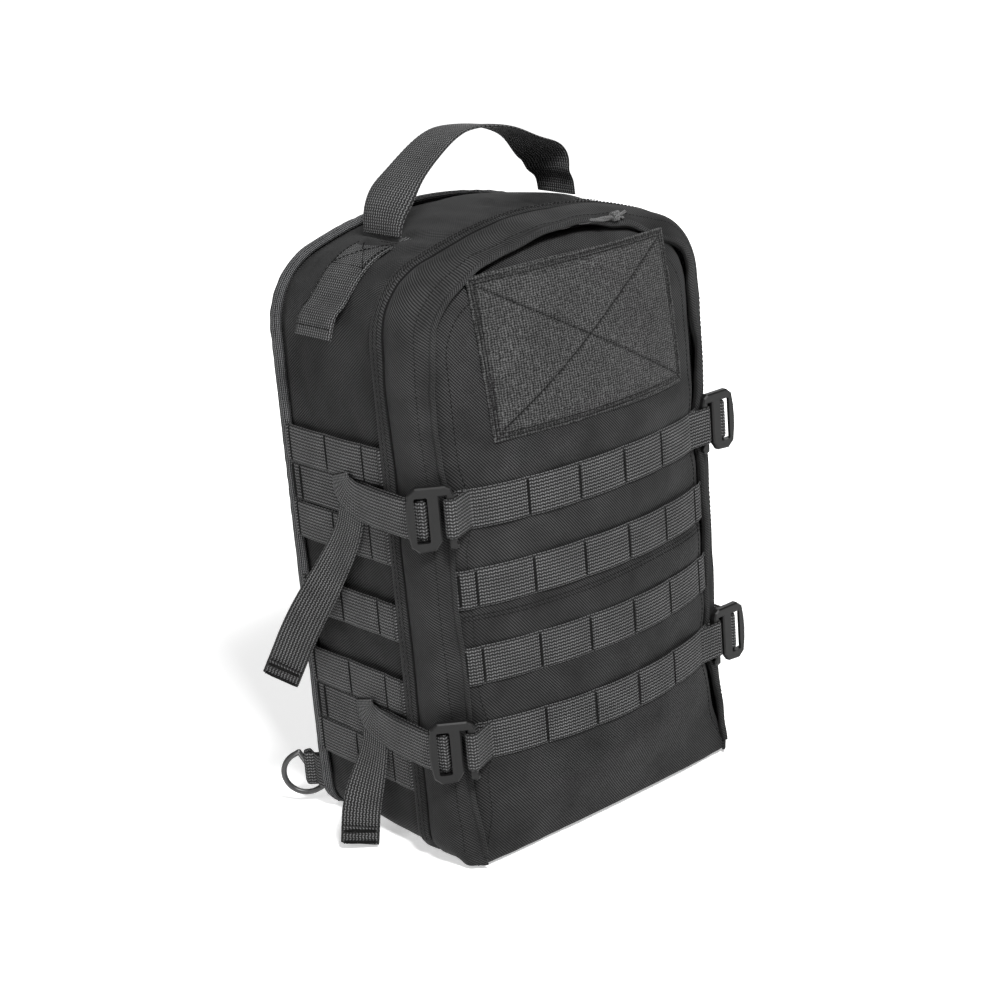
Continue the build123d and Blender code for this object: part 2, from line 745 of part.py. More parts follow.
def sternum_buckle_socket():
    """Socket of the unclipped side-release buckle, on the left half."""
    plane = buckle_plane(left)
    with BuildPart() as socket:
        with BuildSketch(plane.offset(-3.0)):
            with Locations((0, 13)):
                RectangleRounded(buckle_w, 25, 4)
            with Locations((0, buckle_slot_y)):
                RectangleRounded(*buckle_slot, mode=Mode.SUBTRACT)
        extrude(amount=6.4)
        with BuildSketch(plane.offset(-1.8)):
            with Locations((0, 17.6)):
                Rectangle(19, 19)
        extrude(amount=4.0, mode=Mode.SUBTRACT)
        for edge in (-1, 1):
            with Locations(plane.origin + Vector(edge * 12.6, 0, -15)):
                Box(7, 12, 8.5, mode=Mode.SUBTRACT)
    return socket.part


def sternum_buckle_plug():
    """Plug of the side-release buckle, on the right half."""
    prong = [(6.6, 9.0), (9.6, 9.0), (11.8, 17.0), (11.8, 21.0), (7.6, 26.0), (7.6, 20.0)]
    plug_t = 3.2
    with BuildPart() as plug:
        with BuildSketch(buckle_plane(right).offset(-plug_t / 2)):
            with Locations((0, 4.8)):
                RectangleRounded(buckle_w, 9.6, 2)
            with Locations((0, buckle_slot_y)):
                RectangleRounded(*buckle_slot, mode=Mode.SUBTRACT)
            with Locations((0, 16)):
                RectangleRounded(3.4, 15, 1)
            for edge in (-1, 1):
                polygon([(edge * x, y) for x, y in prong])
        extrude(amount=plug_t)
    return plug.part


# ---------------------------------------------------------------- interior
sheet_t = 1.2
lining_back_y = back_y - 11.5
pocket_y = lining_back_y - sheet_t - 0.3     # rear edge of what is sewn to the lining


def frame_sheet():
    """Stiffener sheet behind the lining."""
    with BuildPart() as sheet:
        extrude(arch_sketch(back_y - 0.4, half_w - wall - 3.5, back_h - 6, top_r - 6,
                            bottom_r - 4, 6.0), amount=sheet_t)
    return sheet.part


def back_lining():
    """Lining over the stiffener."""
    with BuildPart() as lining:
        extrude(arch_sketch(lining_back_y, half_w - wall - 0.6, back_h - wall - 0.8, top_r - wall,
                            bottom_r - wall, wall + 0.6), amount=sheet_t)
    return lining.part


def elastic_loops():
    """Two rows of elastic loops on the lining, for instruments."""
    half, foot, height, pitch = 18.6, 2.6, 38, 40
    inner_half = half - foot
    with BuildPart() as loops:
        for z in (330.0, 240.0):
            for i in range(5):
                x = (i - 2) * pitch
                with BuildSketch(Plane.XY.offset(z - height / 2)):
                    arc_band([(x - half, pocket_y), (x, pocket_y - 9.5), (x + half, pocket_y)],
                             [(x - inner_half, pocket_y), (x, pocket_y - 8.2),
                              (x + inner_half, pocket_y)])
                extrude(amount=height)
    return loops.part


def slip_pocket():
    """Slip pocket low on the lining, for dressings."""
    outer_y, inner_y = pocket_y - 12.7, pocket_y - 11.3    # faces of the pocket's front
    with BuildPart() as pocket:
        with BuildSketch(Plane.XY.offset(20)):
            polygon([(-102, pocket_y), (-100, outer_y), (100, outer_y), (102, pocket_y),
                     (100.4, pocket_y), (98.6, inner_y), (-98.6, inner_y), (-100.4, pocket_y)])
        extrude(amount=140)
    return pocket.part


def mesh_pockets():
    """Mesh pockets on the inside of the front panel."""
    with BuildPart() as pockets:
        for z0, z1 in ((212.0, 350.0), (24.0, 196.0)):
            with BuildSketch(Plane.XY.offset(z0)):
                arc_band([(-94, -58.0), (0, -62.0), (94, -58.0)],
                         [(-92.5, -56.8), (0, -60.8), (92.5, -56.8)])
            extrude(amount=z1 - z0)
    return pockets.part


# ---------------------------------------------------------------- build and save
# Each piece is named after its function, with its level and side where it has them.
for build in (side_gusset, base_lip, back_panel, seam_binding, storm_flap, zip_tape_body,
              zip_tape_panel, front_panel, loop_field, hook_loops, carry_handle, handle_tabs,
              back_pads, strap_anchors_top, strap_anchors_low, sternum_buckle_socket,
              sternum_buckle_plug, frame_sheet, back_lining, elastic_loops, slip_pocket,
              mesh_pockets):
    save(build.__name__, build())

for build in (zip_slider, pull_cord, side_webbing, d_ring, d_ring_tab, shoulder_strap, strap_neck,
              ladder_lock, lower_webbing, sternum_webbing):
    for side, name in side_names.items():
        save(f"{build.__name__}_{name}", build(side))

for build in (strap_base, hook, strap_end):
    for level in hook_z:
        for side, name in side_names.items():
            save(f"{build.__name__}_{level}_{name}", build(level, side))

# The top and bottom rows, which the hooks pull on, are shorter. Row 1 is the top one.
for i, z in enumerate(front_row_z):
    save(f"front_webbing_row_{4 - i}", front_webbing_row(z, 101.5 if i in (0, 3) else 106.0))
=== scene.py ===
# A small black backpack with an arched, zipped front panel, standing on its base at z = 0.
# The front faces -y and the back pads and shoulder straps face +y; "left" is -x, "right" +x.
# Geometry is worked out in millimetres and becomes metres in add_mesh. Shaders, lights and
# camera are in metres, but the "co2" attribute that the weave shaders read is in millimetres.
import math

import bmesh
import bpy
import numpy as np
from mathutils import Matrix, Vector


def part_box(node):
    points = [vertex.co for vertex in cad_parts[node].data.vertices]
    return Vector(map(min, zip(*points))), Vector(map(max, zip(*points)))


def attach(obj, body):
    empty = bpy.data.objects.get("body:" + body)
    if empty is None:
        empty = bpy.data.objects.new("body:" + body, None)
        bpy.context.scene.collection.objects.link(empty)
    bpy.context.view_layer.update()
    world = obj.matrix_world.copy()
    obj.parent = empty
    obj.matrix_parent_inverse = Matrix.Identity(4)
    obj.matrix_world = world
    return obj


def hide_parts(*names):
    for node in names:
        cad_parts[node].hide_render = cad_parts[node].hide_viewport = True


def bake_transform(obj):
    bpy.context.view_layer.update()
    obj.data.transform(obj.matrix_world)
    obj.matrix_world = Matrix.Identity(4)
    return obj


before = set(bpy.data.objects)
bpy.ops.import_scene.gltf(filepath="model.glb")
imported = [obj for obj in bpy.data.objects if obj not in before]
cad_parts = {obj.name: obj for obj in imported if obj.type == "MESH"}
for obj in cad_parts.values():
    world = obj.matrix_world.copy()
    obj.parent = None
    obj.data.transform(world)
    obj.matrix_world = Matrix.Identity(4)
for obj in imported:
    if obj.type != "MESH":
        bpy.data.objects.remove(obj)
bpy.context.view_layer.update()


# ------------------------------------------------------------------ sizes (mm)
def box_mm(node):
    """Low and high corners of a CAD node."""
    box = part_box(node)
    return np.array(box[0]) * 1000, np.array(box[1]) * 1000


def middle(node, axis):
    low, high = box_mm(node)
    return (low[axis] + high[axis]) / 2


# widths called _X are half widths, measured from the plane x = 0
SHELL_X = box_mm("side_gusset")[1][0]
SHELL_TOP = 395
SHELL_CORNER = 50
BASE_CORNER = 20
CROWN_RADIUS = 283.0                # arc over the top of the shell, flap and panel
_, (BACK_X, BACK_Y, BACK_TOP) = box_mm("back_panel")
FLAP_X, _, FLAP_TOP = box_mm("storm_flap")[1]
PANEL_LOW, PANEL_HIGH = box_mm("front_panel")
PANEL_X, PANEL_REAR_Y, PANEL_TOP = PANEL_HIGH
PANEL_APEX_Y, PANEL_BASE = PANEL_LOW[1:]
PANEL_BOW = 24.0                    # how far the panel's middle stands ahead of its sides
PANEL_RADIUS = (PANEL_X**2 + PANEL_BOW**2) / (2 * PANEL_BOW)
PATCH_LOW, PATCH_HIGH = box_mm("loop_field")

ROW_Z = {k: middle("front_webbing_row_%d" % k, 2) for k in (1, 2, 3, 4)}    # top row is 1
HOOK_Z = {"upper": ROW_Z[1], "lower": ROW_Z[4]}
SIDE_LOW, SIDE_HIGH = box_mm("side_webbing_left")
TAPE_HALF = 12.7
SIDE_Z = [SIDE_LOW[2] + TAPE_HALF + k * (SIDE_HIGH[2] - SIDE_LOW[2] - 2 * TAPE_HALF) / 4
          for k in range(5)]
TACK_PITCH = 38.1
SIDES = (("left", -1), ("right", 1))
LEVELS = ("upper", "lower")

# woven tape: rib pitch across, zigzag length along, and zigzag swing
RIB = 2.1
ZIG = 3.3
SWING = 0.42
RIB_DEPTH = 0.42


# ------------------------------------------------------------------ curves and noise
def unit(vec):
    vec = np.asarray(vec, float)
    return vec / np.maximum(np.linalg.norm(vec, axis=-1, keepdims=True), 1e-12)


def smooth_step(start, end, x):
    t = np.clip((np.asarray(x, float) - start) / (end - start), 0, 1)
    return t * t * (3 - 2 * t)


def hump(x, centre, reach):
    """1 at centre, falling smoothly to 0 at centre +- reach."""
    t = np.clip(1 - np.abs((np.asarray(x, float) - centre) / reach), 0, 1)
    return t * t * (3 - 2 * t)


def lattice(i, j, k, seed):
    """Fixed random value in -1..1 for each whole-number lattice point."""
    bits = (i * 374761393 + j * 668265263 + k * 2147483647 + seed * 1274126177) & 0xFFFFFFFF
    bits = ((bits ^ (bits >> 13)) * 1274126177) & 0xFFFFFFFF
    bits = (bits ^ (bits >> 16)) & 0xFFFF
    return bits / 32767.5 - 1.0


def noise3(points, size, seed):
    """Smooth noise in -1..1 with features of the given size (a number or three)."""
    scaled = np.asarray(points, float) / np.asarray(size, float)
    cell = np.floor(scaled).astype(np.int64)
    part = scaled - cell
    part = part * part * (3 - 2 * part)
    total = 0
    for step in np.ndindex(2, 2, 2):
        weight = 1
        for k in range(3):
            weight = weight * (part[..., k] if step[k] else 1 - part[..., k])
        total = total + weight * lattice(*(cell[..., k] + step[k] for k in range(3)), seed)
    return total


def layered(points, size, seed, octaves=3):
    """Sum of ever finer and weaker noise3."""
    size = np.asarray(size, float)
    return sum(noise3(points, size / 2.03**k, seed + 7 * k) / 2.0**k
               for k in range(octaves)) / 1.6


def flat(first, second):
    """Stack two coordinates with a third of zero."""
    return np.stack([first, second + 0 * first, 0 * first], -1)


def run_noise(run, size, seed):
    """Noise along a line."""
    return noise3(flat(run, 0), (size, 1, 1), seed)


def run_length(points):
    return np.r_[0, np.cumsum(np.linalg.norm(np.diff(points, axis=0), axis=1))]


def resample(points, step, measured=None, least=2):
    """Even steps along a line; only the first `measured` columns count as length."""
    run = run_length(points[:, :measured])
    count = max(least, int(round(run[-1] / step)) + 1)
    even = np.linspace(0, run[-1], count)
    return np.stack([np.interp(even, run, column) for column in points.T], 1)


def spline(points, step):
    """Catmull-Rom curve through points, resampled evenly."""
    points = np.asarray(points, float)
    ends = np.vstack([2 * points[0] - points[1], points, 2 * points[-1] - points[-2]])
    t = np.linspace(0, 1, 24, endpoint=False)[:, None]
    out = []
    for i in range(1, len(ends) - 2):
        p0, p1, p2, p3 = ends[i - 1:i + 3]
        out.append(0.5 * ((2 * p1) + (-p0 + p2) * t + (2 * p0 - 5 * p1 + 4 * p2 - p3) * t**2
                          + (-p0 + 3 * p1 - 3 * p2 + p3) * t**3))
    out.append(points[-1:])
    return resample(np.vstack(out), step)


def tangents(path):
    return unit(np.gradient(path, axis=0))


def path_frame(path, across):
    """Width direction squared to the path, and the normal."""
    along = tangents(path)
    across = np.broadcast_to(np.asarray(across, float), path.shape)
    across = unit(across - (across * along).sum(1, keepdims=True) * along)
    return across, unit(np.cross(along, across))


def arc(centre, radius, angles):
    return np.asarray(centre) + radius * np.stack([np.cos(angles), np.sin(angles)], -1)


def segment_distance(points, start, end):
    start, end = np.array(start), np.array(end)
    line = end - start
    t = np.clip((points - start) @ line / (line @ line), 0, 1)
    return np.linalg.norm(points - start - t[..., None] * line, axis=-1)


# ------------------------------------------------------------------ shader helper
def grey(value, tint=0.0):
    """Near-neutral colour; tint leans it to blue."""
    return (value * (1 - tint * 0.4), value, value * (1 + tint))


class Shader:
    """A material with one Principled shader and short calls for the nodes that feed it."""

    def __init__(self, name):
        self.material = bpy.data.materials.new(name)
        self.material.use_nodes = True
        self.tree = self.material.node_tree
        self.tree.nodes.clear()
        output = self.node("ShaderNodeOutputMaterial")
        self.principled = self.node("ShaderNodeBsdfPrincipled")
        self.link(self.principled.outputs[0], output.inputs[0])

    def node(self, kind, **settings):
        node = self.tree.nodes.new(kind)
        for key, value in settings.items():
            setattr(node, key, value)
        return node

    def link(self, source, target):
        self.tree.links.new(source, target)

    def math(self, operation, first, second=None, clamp=False):
        node = self.node("ShaderNodeMath", operation=operation, use_clamp=clamp)
        for i, value in enumerate((first, second)):
            if isinstance(value, (int, float)):
                node.inputs[i].default_value = value
            elif value is not None:
                self.link(value, node.inputs[i])
        return node.outputs[0]

    def add(self, first, second):
        return self.math("ADD", first, second)

    def sub(self, first, second):
        return self.math("SUBTRACT", first, second)

    def mul(self, first, second):
        return self.math("MULTIPLY", first, second)

    def abs(self, value):
        return self.math("ABSOLUTE", value)

    def wave(self, value, length):
        """Sine of the value, repeating every length."""
        return self.math("SINE", self.mul(value, 2 * math.pi / length))

    def co2(self):
        """The three numbers of the co2 attribute."""
        node = self.node("ShaderNodeAttribute", attribute_name="co2", attribute_type="GEOMETRY")
        split = self.node("ShaderNodeSeparateXYZ")
        self.link(node.outputs["Vector"], split.inputs[0])
        return split.outputs[:3]

    def place(self):
        """Object coordinates."""
        return self.node("ShaderNodeTexCoord").outputs["Object"]

    def noise(self, place, scale, detail=2.0, rough=0.5):
        node = self.node("ShaderNodeTexNoise")
        node.inputs["Scale"].default_value = scale
        node.inputs["Detail"].default_value = detail
        node.inputs["Roughness"].default_value = rough
        self.link(place, node.inputs["Vector"])
        return node.outputs["Fac"]

    def ramp(self, factor, stops):
        """Colour ramp; stops are (position, colour)."""
        node = self.node("ShaderNodeValToRGB")
        elements = node.color_ramp.elements
        while len(elements) < len(stops):
            elements.new(0.5)
        for element, (position, color) in zip(elements, stops):
            element.position = position
            element.color = (*color, 1)
        self.link(factor, node.inputs[0])
        return node.outputs[0]

    def between(self, factor, low, high, start=0.2, end=0.8):
        """Grey from low at factor `start` to high at factor `end`."""
        return self.ramp(factor, [(start, grey(low)), (end, grey(high))])

    def mix(self, factor, first, second, mode="MIX"):
        node = self.node("ShaderNodeMix", data_type="RGBA", blend_type=mode)
        for index, value in ((0, factor), (6, first), (7, second)):
            if isinstance(value, (int, float)):
                node.inputs[index].default_value = value
            elif isinstance(value, tuple):
                node.inputs[index].default_value = (*value, 1)
            else:
                self.link(value, node.inputs[index])
        return node.outputs[2]

    def mottled(self, color, factor, dark, light, end=0.7):
        """Multiply the colour by a grey that follows a noise."""
        shade = self.between(factor, dark, light, start=0.3, end=end)
        return self.mix(1.0, color, shade, "MULTIPLY")

    def edges(self, start, end):
        """0 on flats, rising to 1 on sharp outer edges."""
        geometry = self.node("ShaderNodeNewGeometry")
        return self.between(geometry.outputs["Pointiness"], 0.0, 1.0, start=start, end=end)

    def bump(self, height, distance, strength, below=None):
        node = self.node("ShaderNodeBump")
        node.inputs["Distance"].default_value = distance
        node.inputs["Strength"].default_value = strength
        self.link(height, node.inputs["Height"])
        if below is not None:
            self.link(below, node.inputs["Normal"])
        return node.outputs[0]

    def done(self, color, rough, normal=None, sheen=0.0, metal=0.0, spec=0.3):
        inputs = self.principled.inputs
        self.link(color, inputs["Base Color"])
        if isinstance(rough, (int, float)):
            inputs["Roughness"].default_value = rough
        else:
            self.link(rough, inputs["Roughness"])
        if normal is not None:
            self.link(normal, inputs["Normal"])
        inputs["Sheen Weight"].default_value = sheen
        inputs["Sheen Roughness"].default_value = 0.5
        inputs["Metallic"].default_value = metal
        inputs["Specular IOR Level"].default_value = spec
        return self.material


# ------------------------------------------------------------------ materials
def fabric(name, base, contrast, pitch=1.85, tint=0.01, sheen=0.015):
    """Fine diagonal twill: two crossing thread directions, light dust specks, and soft patches of
    painted highlight and shade.
    """
    s = Shader(name)
    x, y, _ = s.co2()
    rib = s.math("SINE", s.mul(s.add(x, s.mul(y, 0.8)), 2 * math.pi / pitch))
    weft = s.math("SINE", s.mul(s.sub(x, s.mul(y, 1.35)), 2 * math.pi / pitch * 0.9))
    height = s.add(s.mul(rib, 0.36), s.mul(weft, 0.14))
    height = s.add(height, 0.5)
    place = s.place()
    fine = s.noise(place, scale=1400, detail=1.0)
    blotches = s.noise(place, scale=38, detail=3.0, rough=0.55)
    broad = s.noise(place, scale=9)
    # painted shade between the threads and painted highlight on their crests, over the twill's
    # own thread pattern
    color = s.ramp(height, [(0.22, grey(base * (1 - contrast), tint)),
                            (0.50, grey(base * 0.75, tint)),
                            (0.86, grey(base * (1 + contrast) * 1.5, tint))])
    color = s.mix(s.mul(fine, 0.22), color, grey(base * 1.9, tint))
    # painted highlight and shade in soft patches, small and large, not tied to the folds
    color = s.mottled(color, blotches, dark=0.66, light=1.45)
    color = s.mottled(color, broad, dark=0.82, light=1.2, end=0.75)
    threads = s.bump(height, distance=0.00022, strength=0.8)
    dents = s.bump(s.noise(place, scale=34, rough=0.45), distance=0.0060, strength=0.38,
                   below=threads)
    grain = s.bump(s.noise(place, scale=160), distance=0.0006, strength=0.35, below=dents)
    rough = s.between(blotches, 0.72, 0.9)
    return s.done(color, rough, grain, sheen=sheen, spec=0.14)


def webbing(name, base, rib=RIB, zig=ZIG, swing=SWING, tint=0.03):
    """Coarse tape: wavy zigzag ribs along the strap, with painted shade in the gaps between them
    and painted highlights on their crests.
    """
    s = Shader(name)
    along, across, _ = s.co2()
    zigzag = s.math("PINGPONG", along, zig / 2)
    zigzag = s.mul(s.sub(zigzag, zig / 4), swing * 4 / zig)
    phase = s.mul(s.add(across, zigzag), math.pi / rib)
    ribs = s.math("POWER", s.abs(s.math("COSINE", phase)), 0.85)
    # each leg of the zigzag is one float of thread, raised and given a painted highlight along
    # its middle
    leg = s.abs(s.wave(along, zig))
    height = s.mul(ribs, s.add(0.70, s.mul(leg, 0.30)))
    place = s.place()
    blotches = s.noise(place, scale=55, detail=3.0, rough=0.6)
    fine = s.noise(place, scale=900)
    # colour by rib height: near black as painted shade in the gaps, rising to a bright painted
    # highlight on the crests
    color = s.ramp(height, [(0.38, grey(base * 0.02)), (0.60, grey(base * 0.3, tint)),
                            (0.80, grey(base * 2.1, tint)), (0.95, grey(base * 7.5, tint))])
    color = s.mix(s.mul(fine, 0.30), color, grey(base * 1.1, tint))
    color = s.mottled(color, blotches, dark=0.8, light=1.22)
    weave_bump = s.bump(height, distance=0.0005, strength=0.9)
    fuzz = s.bump(fine, distance=0.0002, strength=0.4, below=weave_bump)
    return s.done(color, 0.70, fuzz, sheen=0.02, spec=0.22)


def looped_pile(name, base=0.034, row_pitch=2.0, loop_pitch=1.5):
    """Looped pile in knitted rows; co2 z is 1 in a stitched channel."""
    s = Shader(name)
    x, y, channel = s.co2()
    place = s.place()
    loops = s.noise(place, scale=520, rough=0.6)
    wobble = s.mul(s.noise(place, scale=260, detail=1.0), 2.4)
    row = s.wave(s.add(x, wobble), row_pitch)
    column = s.wave(s.add(y, wobble), loop_pitch)
    height = s.add(s.mul(row, 0.20), s.mul(column, 0.17))
    height = s.add(height, s.mul(loops, 0.95))
    broad = s.noise(place, scale=30, detail=3.0, rough=0.6)
    color = s.ramp(height, [(0.18, grey(base * 0.22)), (0.48, grey(base * 0.85)),
                            (0.85, grey(base * 2.1))])
    color = s.mottled(color, broad, dark=0.88, light=1.12)
    # painted shade: the pile darkens in the stitched grooves
    color = s.mix(s.math("MULTIPLY", channel, 0.62, clamp=True), color, grey(base * 0.12))
    normal = s.bump(height, distance=0.0009, strength=0.9)
    return s.done(color, 0.92, normal, sheen=0.03, spec=0.08)


def plastic(name, base=0.0035, rough=0.44):
    s = Shader(name)
    place = s.place()
    grain = s.noise(place, scale=1500)
    blotches = s.noise(place, scale=90, detail=3.0, rough=0.6)
    color = s.mix(s.mul(s.edges(0.50, 0.56), 0.30), grey(base), grey(base * 3.2))
    color = s.mottled(color, blotches, dark=0.85, light=1.2)
    gloss = s.between(blotches, rough - 0.07, rough + 0.1)
    return s.done(color, gloss, s.bump(grain, distance=0.00006, strength=0.5), spec=0.24)


def metal(name, base, rough):
    """Black-coated metal, bare on worn edges."""
    s = Shader(name)
    blotches = s.noise(s.place(), scale=160, detail=3.0, rough=0.6)
    color = s.mix(s.mul(s.edges(0.52, 0.60), 0.5), grey(base), grey(0.22))
    gloss = s.between(blotches, rough - 0.08, rough + 0.12)
    normal = s.bump(blotches, distance=0.00005, strength=0.4)
    return s.done(color, gloss, normal, metal=0.35, spec=0.6)


def thread(name, base):
    s = Shader(name)
    place = s.place()
    blotches = s.noise(place, scale=500)
    twist = s.node("ShaderNodeTexWave", wave_type="BANDS", bands_direction="DIAGONAL")
    twist.inputs["Scale"].default_value = 700
    s.link(place, twist.inputs["Vector"])
    color = s.between(blotches, base * 0.6, base * 1.5)
    normal = s.bump(twist.outputs["Fac"], distance=0.00012, strength=0.8)
    return s.done(color, 0.75, normal, spec=0.12)


def braid(name, base=0.05, pitch=1.5):
    """Two sets of strands winding opposite ways round a cord."""
    s = Shader(name)
    along, around, _ = s.co2()
    one = s.wave(s.add(along, around), pitch)
    other = s.wave(s.sub(along, around), pitch)
    height = s.math("MAXIMUM", one, other)
    color = s.between(height, base * 0.12, base * 1.9, start=0.1, end=0.9)
    return s.done(color, 0.7, s.bump(height, distance=0.00025, strength=1.0), sheen=0.15)


def holed_mesh(name, base=0.017, cell=2.2):
    """Cloth with staggered holes."""
    s = Shader(name)
    x, y, _ = s.co2()
    column = s.wave(x, cell)
    row = s.wave(s.add(y, s.mul(s.math("SIGN", column), cell / 4)), cell)
    hole = s.mul(s.abs(column), s.abs(row))
    color = s.ramp(hole, [(0.05, grey(base * 1.7)), (0.55, grey(base * 0.6)),
                          (0.8, grey(base * 0.1))])
    color = s.mottled(color, s.noise(s.place(), scale=60, detail=3.0), dark=0.85, light=1.2)
    normal = s.bump(s.sub(1.0, hole), distance=0.0006, strength=0.9)
    return s.done(color, 0.85, normal, sheen=0.06)


def stiff(name):
    s = Shader(name)
    place = s.place()
    blotches = s.noise(place, scale=40, detail=4.0, rough=0.6)
    grain = s.noise(place, scale=900)
    color = s.between(blotches, 0.055, 0.085, start=0.3, end=0.7)
    return s.done(color, 0.6, s.bump(grain, distance=0.0001, strength=0.6), spec=0.35)


FABRIC = fabric("twill_shell", base=0.0108, contrast=0.95)
# the shell's twill again, a touch lighter and less contrasty: painted light, for the extra light
# the flap catches
FLAP_FABRIC = fabric("twill_flap", base=0.0112, contrast=0.9)
# near-black cloth for the tubes that are painted shadow along the flap's free edge and its seam
SHADOW_TUBE_CLOTH = fabric("painted_seam_shadow_cloth", base=0.0016, contrast=0.5, tint=0.0, sheen=0.0)
LINING = fabric("lining_cloth", base=0.032, contrast=0.15, pitch=0.9, tint=0.05, sheen=0.1)
WEB = webbing("woven_tape", base=0.0178, tint=0.01)
FINE_WEB = webbing("woven_tape_fine", base=0.022, rib=1.7, zig=2.4, swing=0.22)
PILE = looped_pile("loop_pile")
PLASTIC = plastic("moulded_black")
RING_METAL = metal("ring_black", base=0.035, rough=0.38)
SLIDER_METAL = metal("slider_black", base=0.04, rough=0.3)
THREAD = thread("thread_dark", base=0.0035)
TACK_THREAD = thread("thread_tack", base=0.003)
CORD = braid("braided_cord")
SPACER = holed_mesh("spacer_mesh")
COIL = plastic("coil_nylon", base=0.008, rough=0.5)
STIFF = stiff("stiff_sheet")


# ------------------------------------------------------------------ mesh helpers
def smooth(obj):
    obj.data.polygons.foreach_set("use_smooth", np.ones(len(obj.data.polygons), bool))


def set_co2(data, values):
    attribute = data.attributes.new("co2", "FLOAT_VECTOR", "POINT")
    attribute.data.foreach_set("vector", np.asarray(values, np.float32).ravel())


def add_mesh(name, verts, faces, mat, co2=None, slot=None, replaces=()):
    """New smooth object; verts in millimetres."""
    data = bpy.data.meshes.new(name)
    verts = np.asarray(verts, float) * 0.001
    data.from_pydata(verts.tolist(), [], [list(map(int, face)) for face in faces])
    if co2 is not None:
        set_co2(data, co2)
    data.materials.append(mat)
    obj = bpy.data.objects.new(name, data)
    smooth(obj)
    data.update()
    bpy.context.scene.collection.objects.link(obj)
    if replaces:
        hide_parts(*replaces)
    return obj


def fix_normals(obj):
    work = bmesh.new()
    work.from_mesh(obj.data)
    bmesh.ops.remove_doubles(work, verts=work.verts, dist=1e-7)
    bmesh.ops.recalc_face_normals(work, faces=work.faces)
    work.to_mesh(obj.data)
    work.free()
    obj.data.update()


def add_part(name, verts, faces, mat, co2, slot, body=None, replaces=()):
    """Mesh with cleaned normals that rides on a body, if one is given."""
    obj = add_mesh(name, verts, faces, mat, co2, slot, replaces)
    fix_normals(obj)
    if body:
        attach(obj, body)
    return obj


def grid_faces(rows, cols, loop=False, base=0):
    """Quads of a grid stored row by row; loop closes each row."""
    i = np.arange(rows - 1)[:, None]
    j = np.arange(cols if loop else cols - 1)[None, :]
    after = (j + 1) % cols
    corners = [i * cols + j, i * cols + after, (i + 1) * cols + after, (i + 1) * cols + j]
    return np.stack(corners, -1).reshape(-1, 4) + base


def grid_normals(grid, loop=False):
    if loop:
        padded = np.concatenate([grid[:, -1:], grid, grid[:, :1]], 1)
        along_row = padded[:, 2:] - padded[:, :-2]
    else:
        along_row = np.gradient(grid, axis=1)
    return unit(np.cross(along_row, np.gradient(grid, axis=0)))


def add_skin(name, grid, layout, thick, mat, slot, body, replaces=(), rim="open", sign=1.0):
    """Closed skin: the grid, a back `thick` behind it, and a rounded lip on free edges.

    rim is "open" (four free edges), "loop" (rows close on themselves) or "capped"
    (rows close, and the last row is filled). layout is co2 for each grid point.
    """
    rows, cols, _ = grid.shape
    loop = rim != "open"
    if np.ndim(thick):
        thick = np.reshape(thick, (-1, 1, 1))
    thick = np.broadcast_to(thick, (rows, cols, 1))
    inner = grid - grid_normals(grid, loop) * sign * thick
    centre = (grid + inner) / 2
    count = rows * cols
    index = np.arange(count).reshape(rows, cols)
    faces = grid_faces(rows, cols, loop).tolist()
    faces += grid_faces(rows, cols, loop, count).tolist()
    if loop:
        rims = [(index[0], unit(grid[0] - grid[1]))]
        if rim == "capped":
            faces += [index[-1].tolist(), (index[-1] + count).tolist()]
        else:
            rims.append((index[-1], unit(grid[-1] - grid[-2])))
    else:
        edge = np.r_[index[0], index[1:, -1], index[-1, :-1][::-1], index[1:-1, 0][::-1]]
        out = np.zeros((count, 3))
        out[index[0]] += unit(grid[0] - grid[1])
        out[index[-1]] += unit(grid[-1] - grid[-2])
        out[index[:, 0]] += unit(grid[:, 0] - grid[:, 1])
        out[index[:, -1]] += unit(grid[:, -1] - grid[:, -2])
        rims = [(edge, unit(out[edge]))]
    values = layout.reshape(-1, 3)
    verts = [grid.reshape(-1, 3), inner.reshape(-1, 3)]
    co2 = [values, values]
    base = 2 * count
    for edge, out in rims:
        verts.append(centre.reshape(-1, 3)[edge] + out * thick.reshape(-1, 1)[edge] * 0.32)
        co2.append(values[edge])
        here = base + np.arange(len(edge))
        after = np.roll(here, -1)
        edge2 = np.roll(edge, -1)
        faces += np.stack([edge, edge2, after, here], 1).tolist()
        faces += np.stack([here, after, edge2 + count, edge + count], 1).tolist()
        base += len(edge)
    return add_part(name, np.vstack(verts), faces, mat, np.vstack(co2), slot, body, replaces)


def weave(along, across):
    """Height 0..1 of the woven ribs, by the same sum as the webbing shader."""
    zigzag = (ZIG / 2 - np.abs(np.mod(along, ZIG) - ZIG / 2) - ZIG / 4) * SWING * 4 / ZIG
    return np.abs(np.cos((across + zigzag) * math.pi / RIB)) ** 0.85


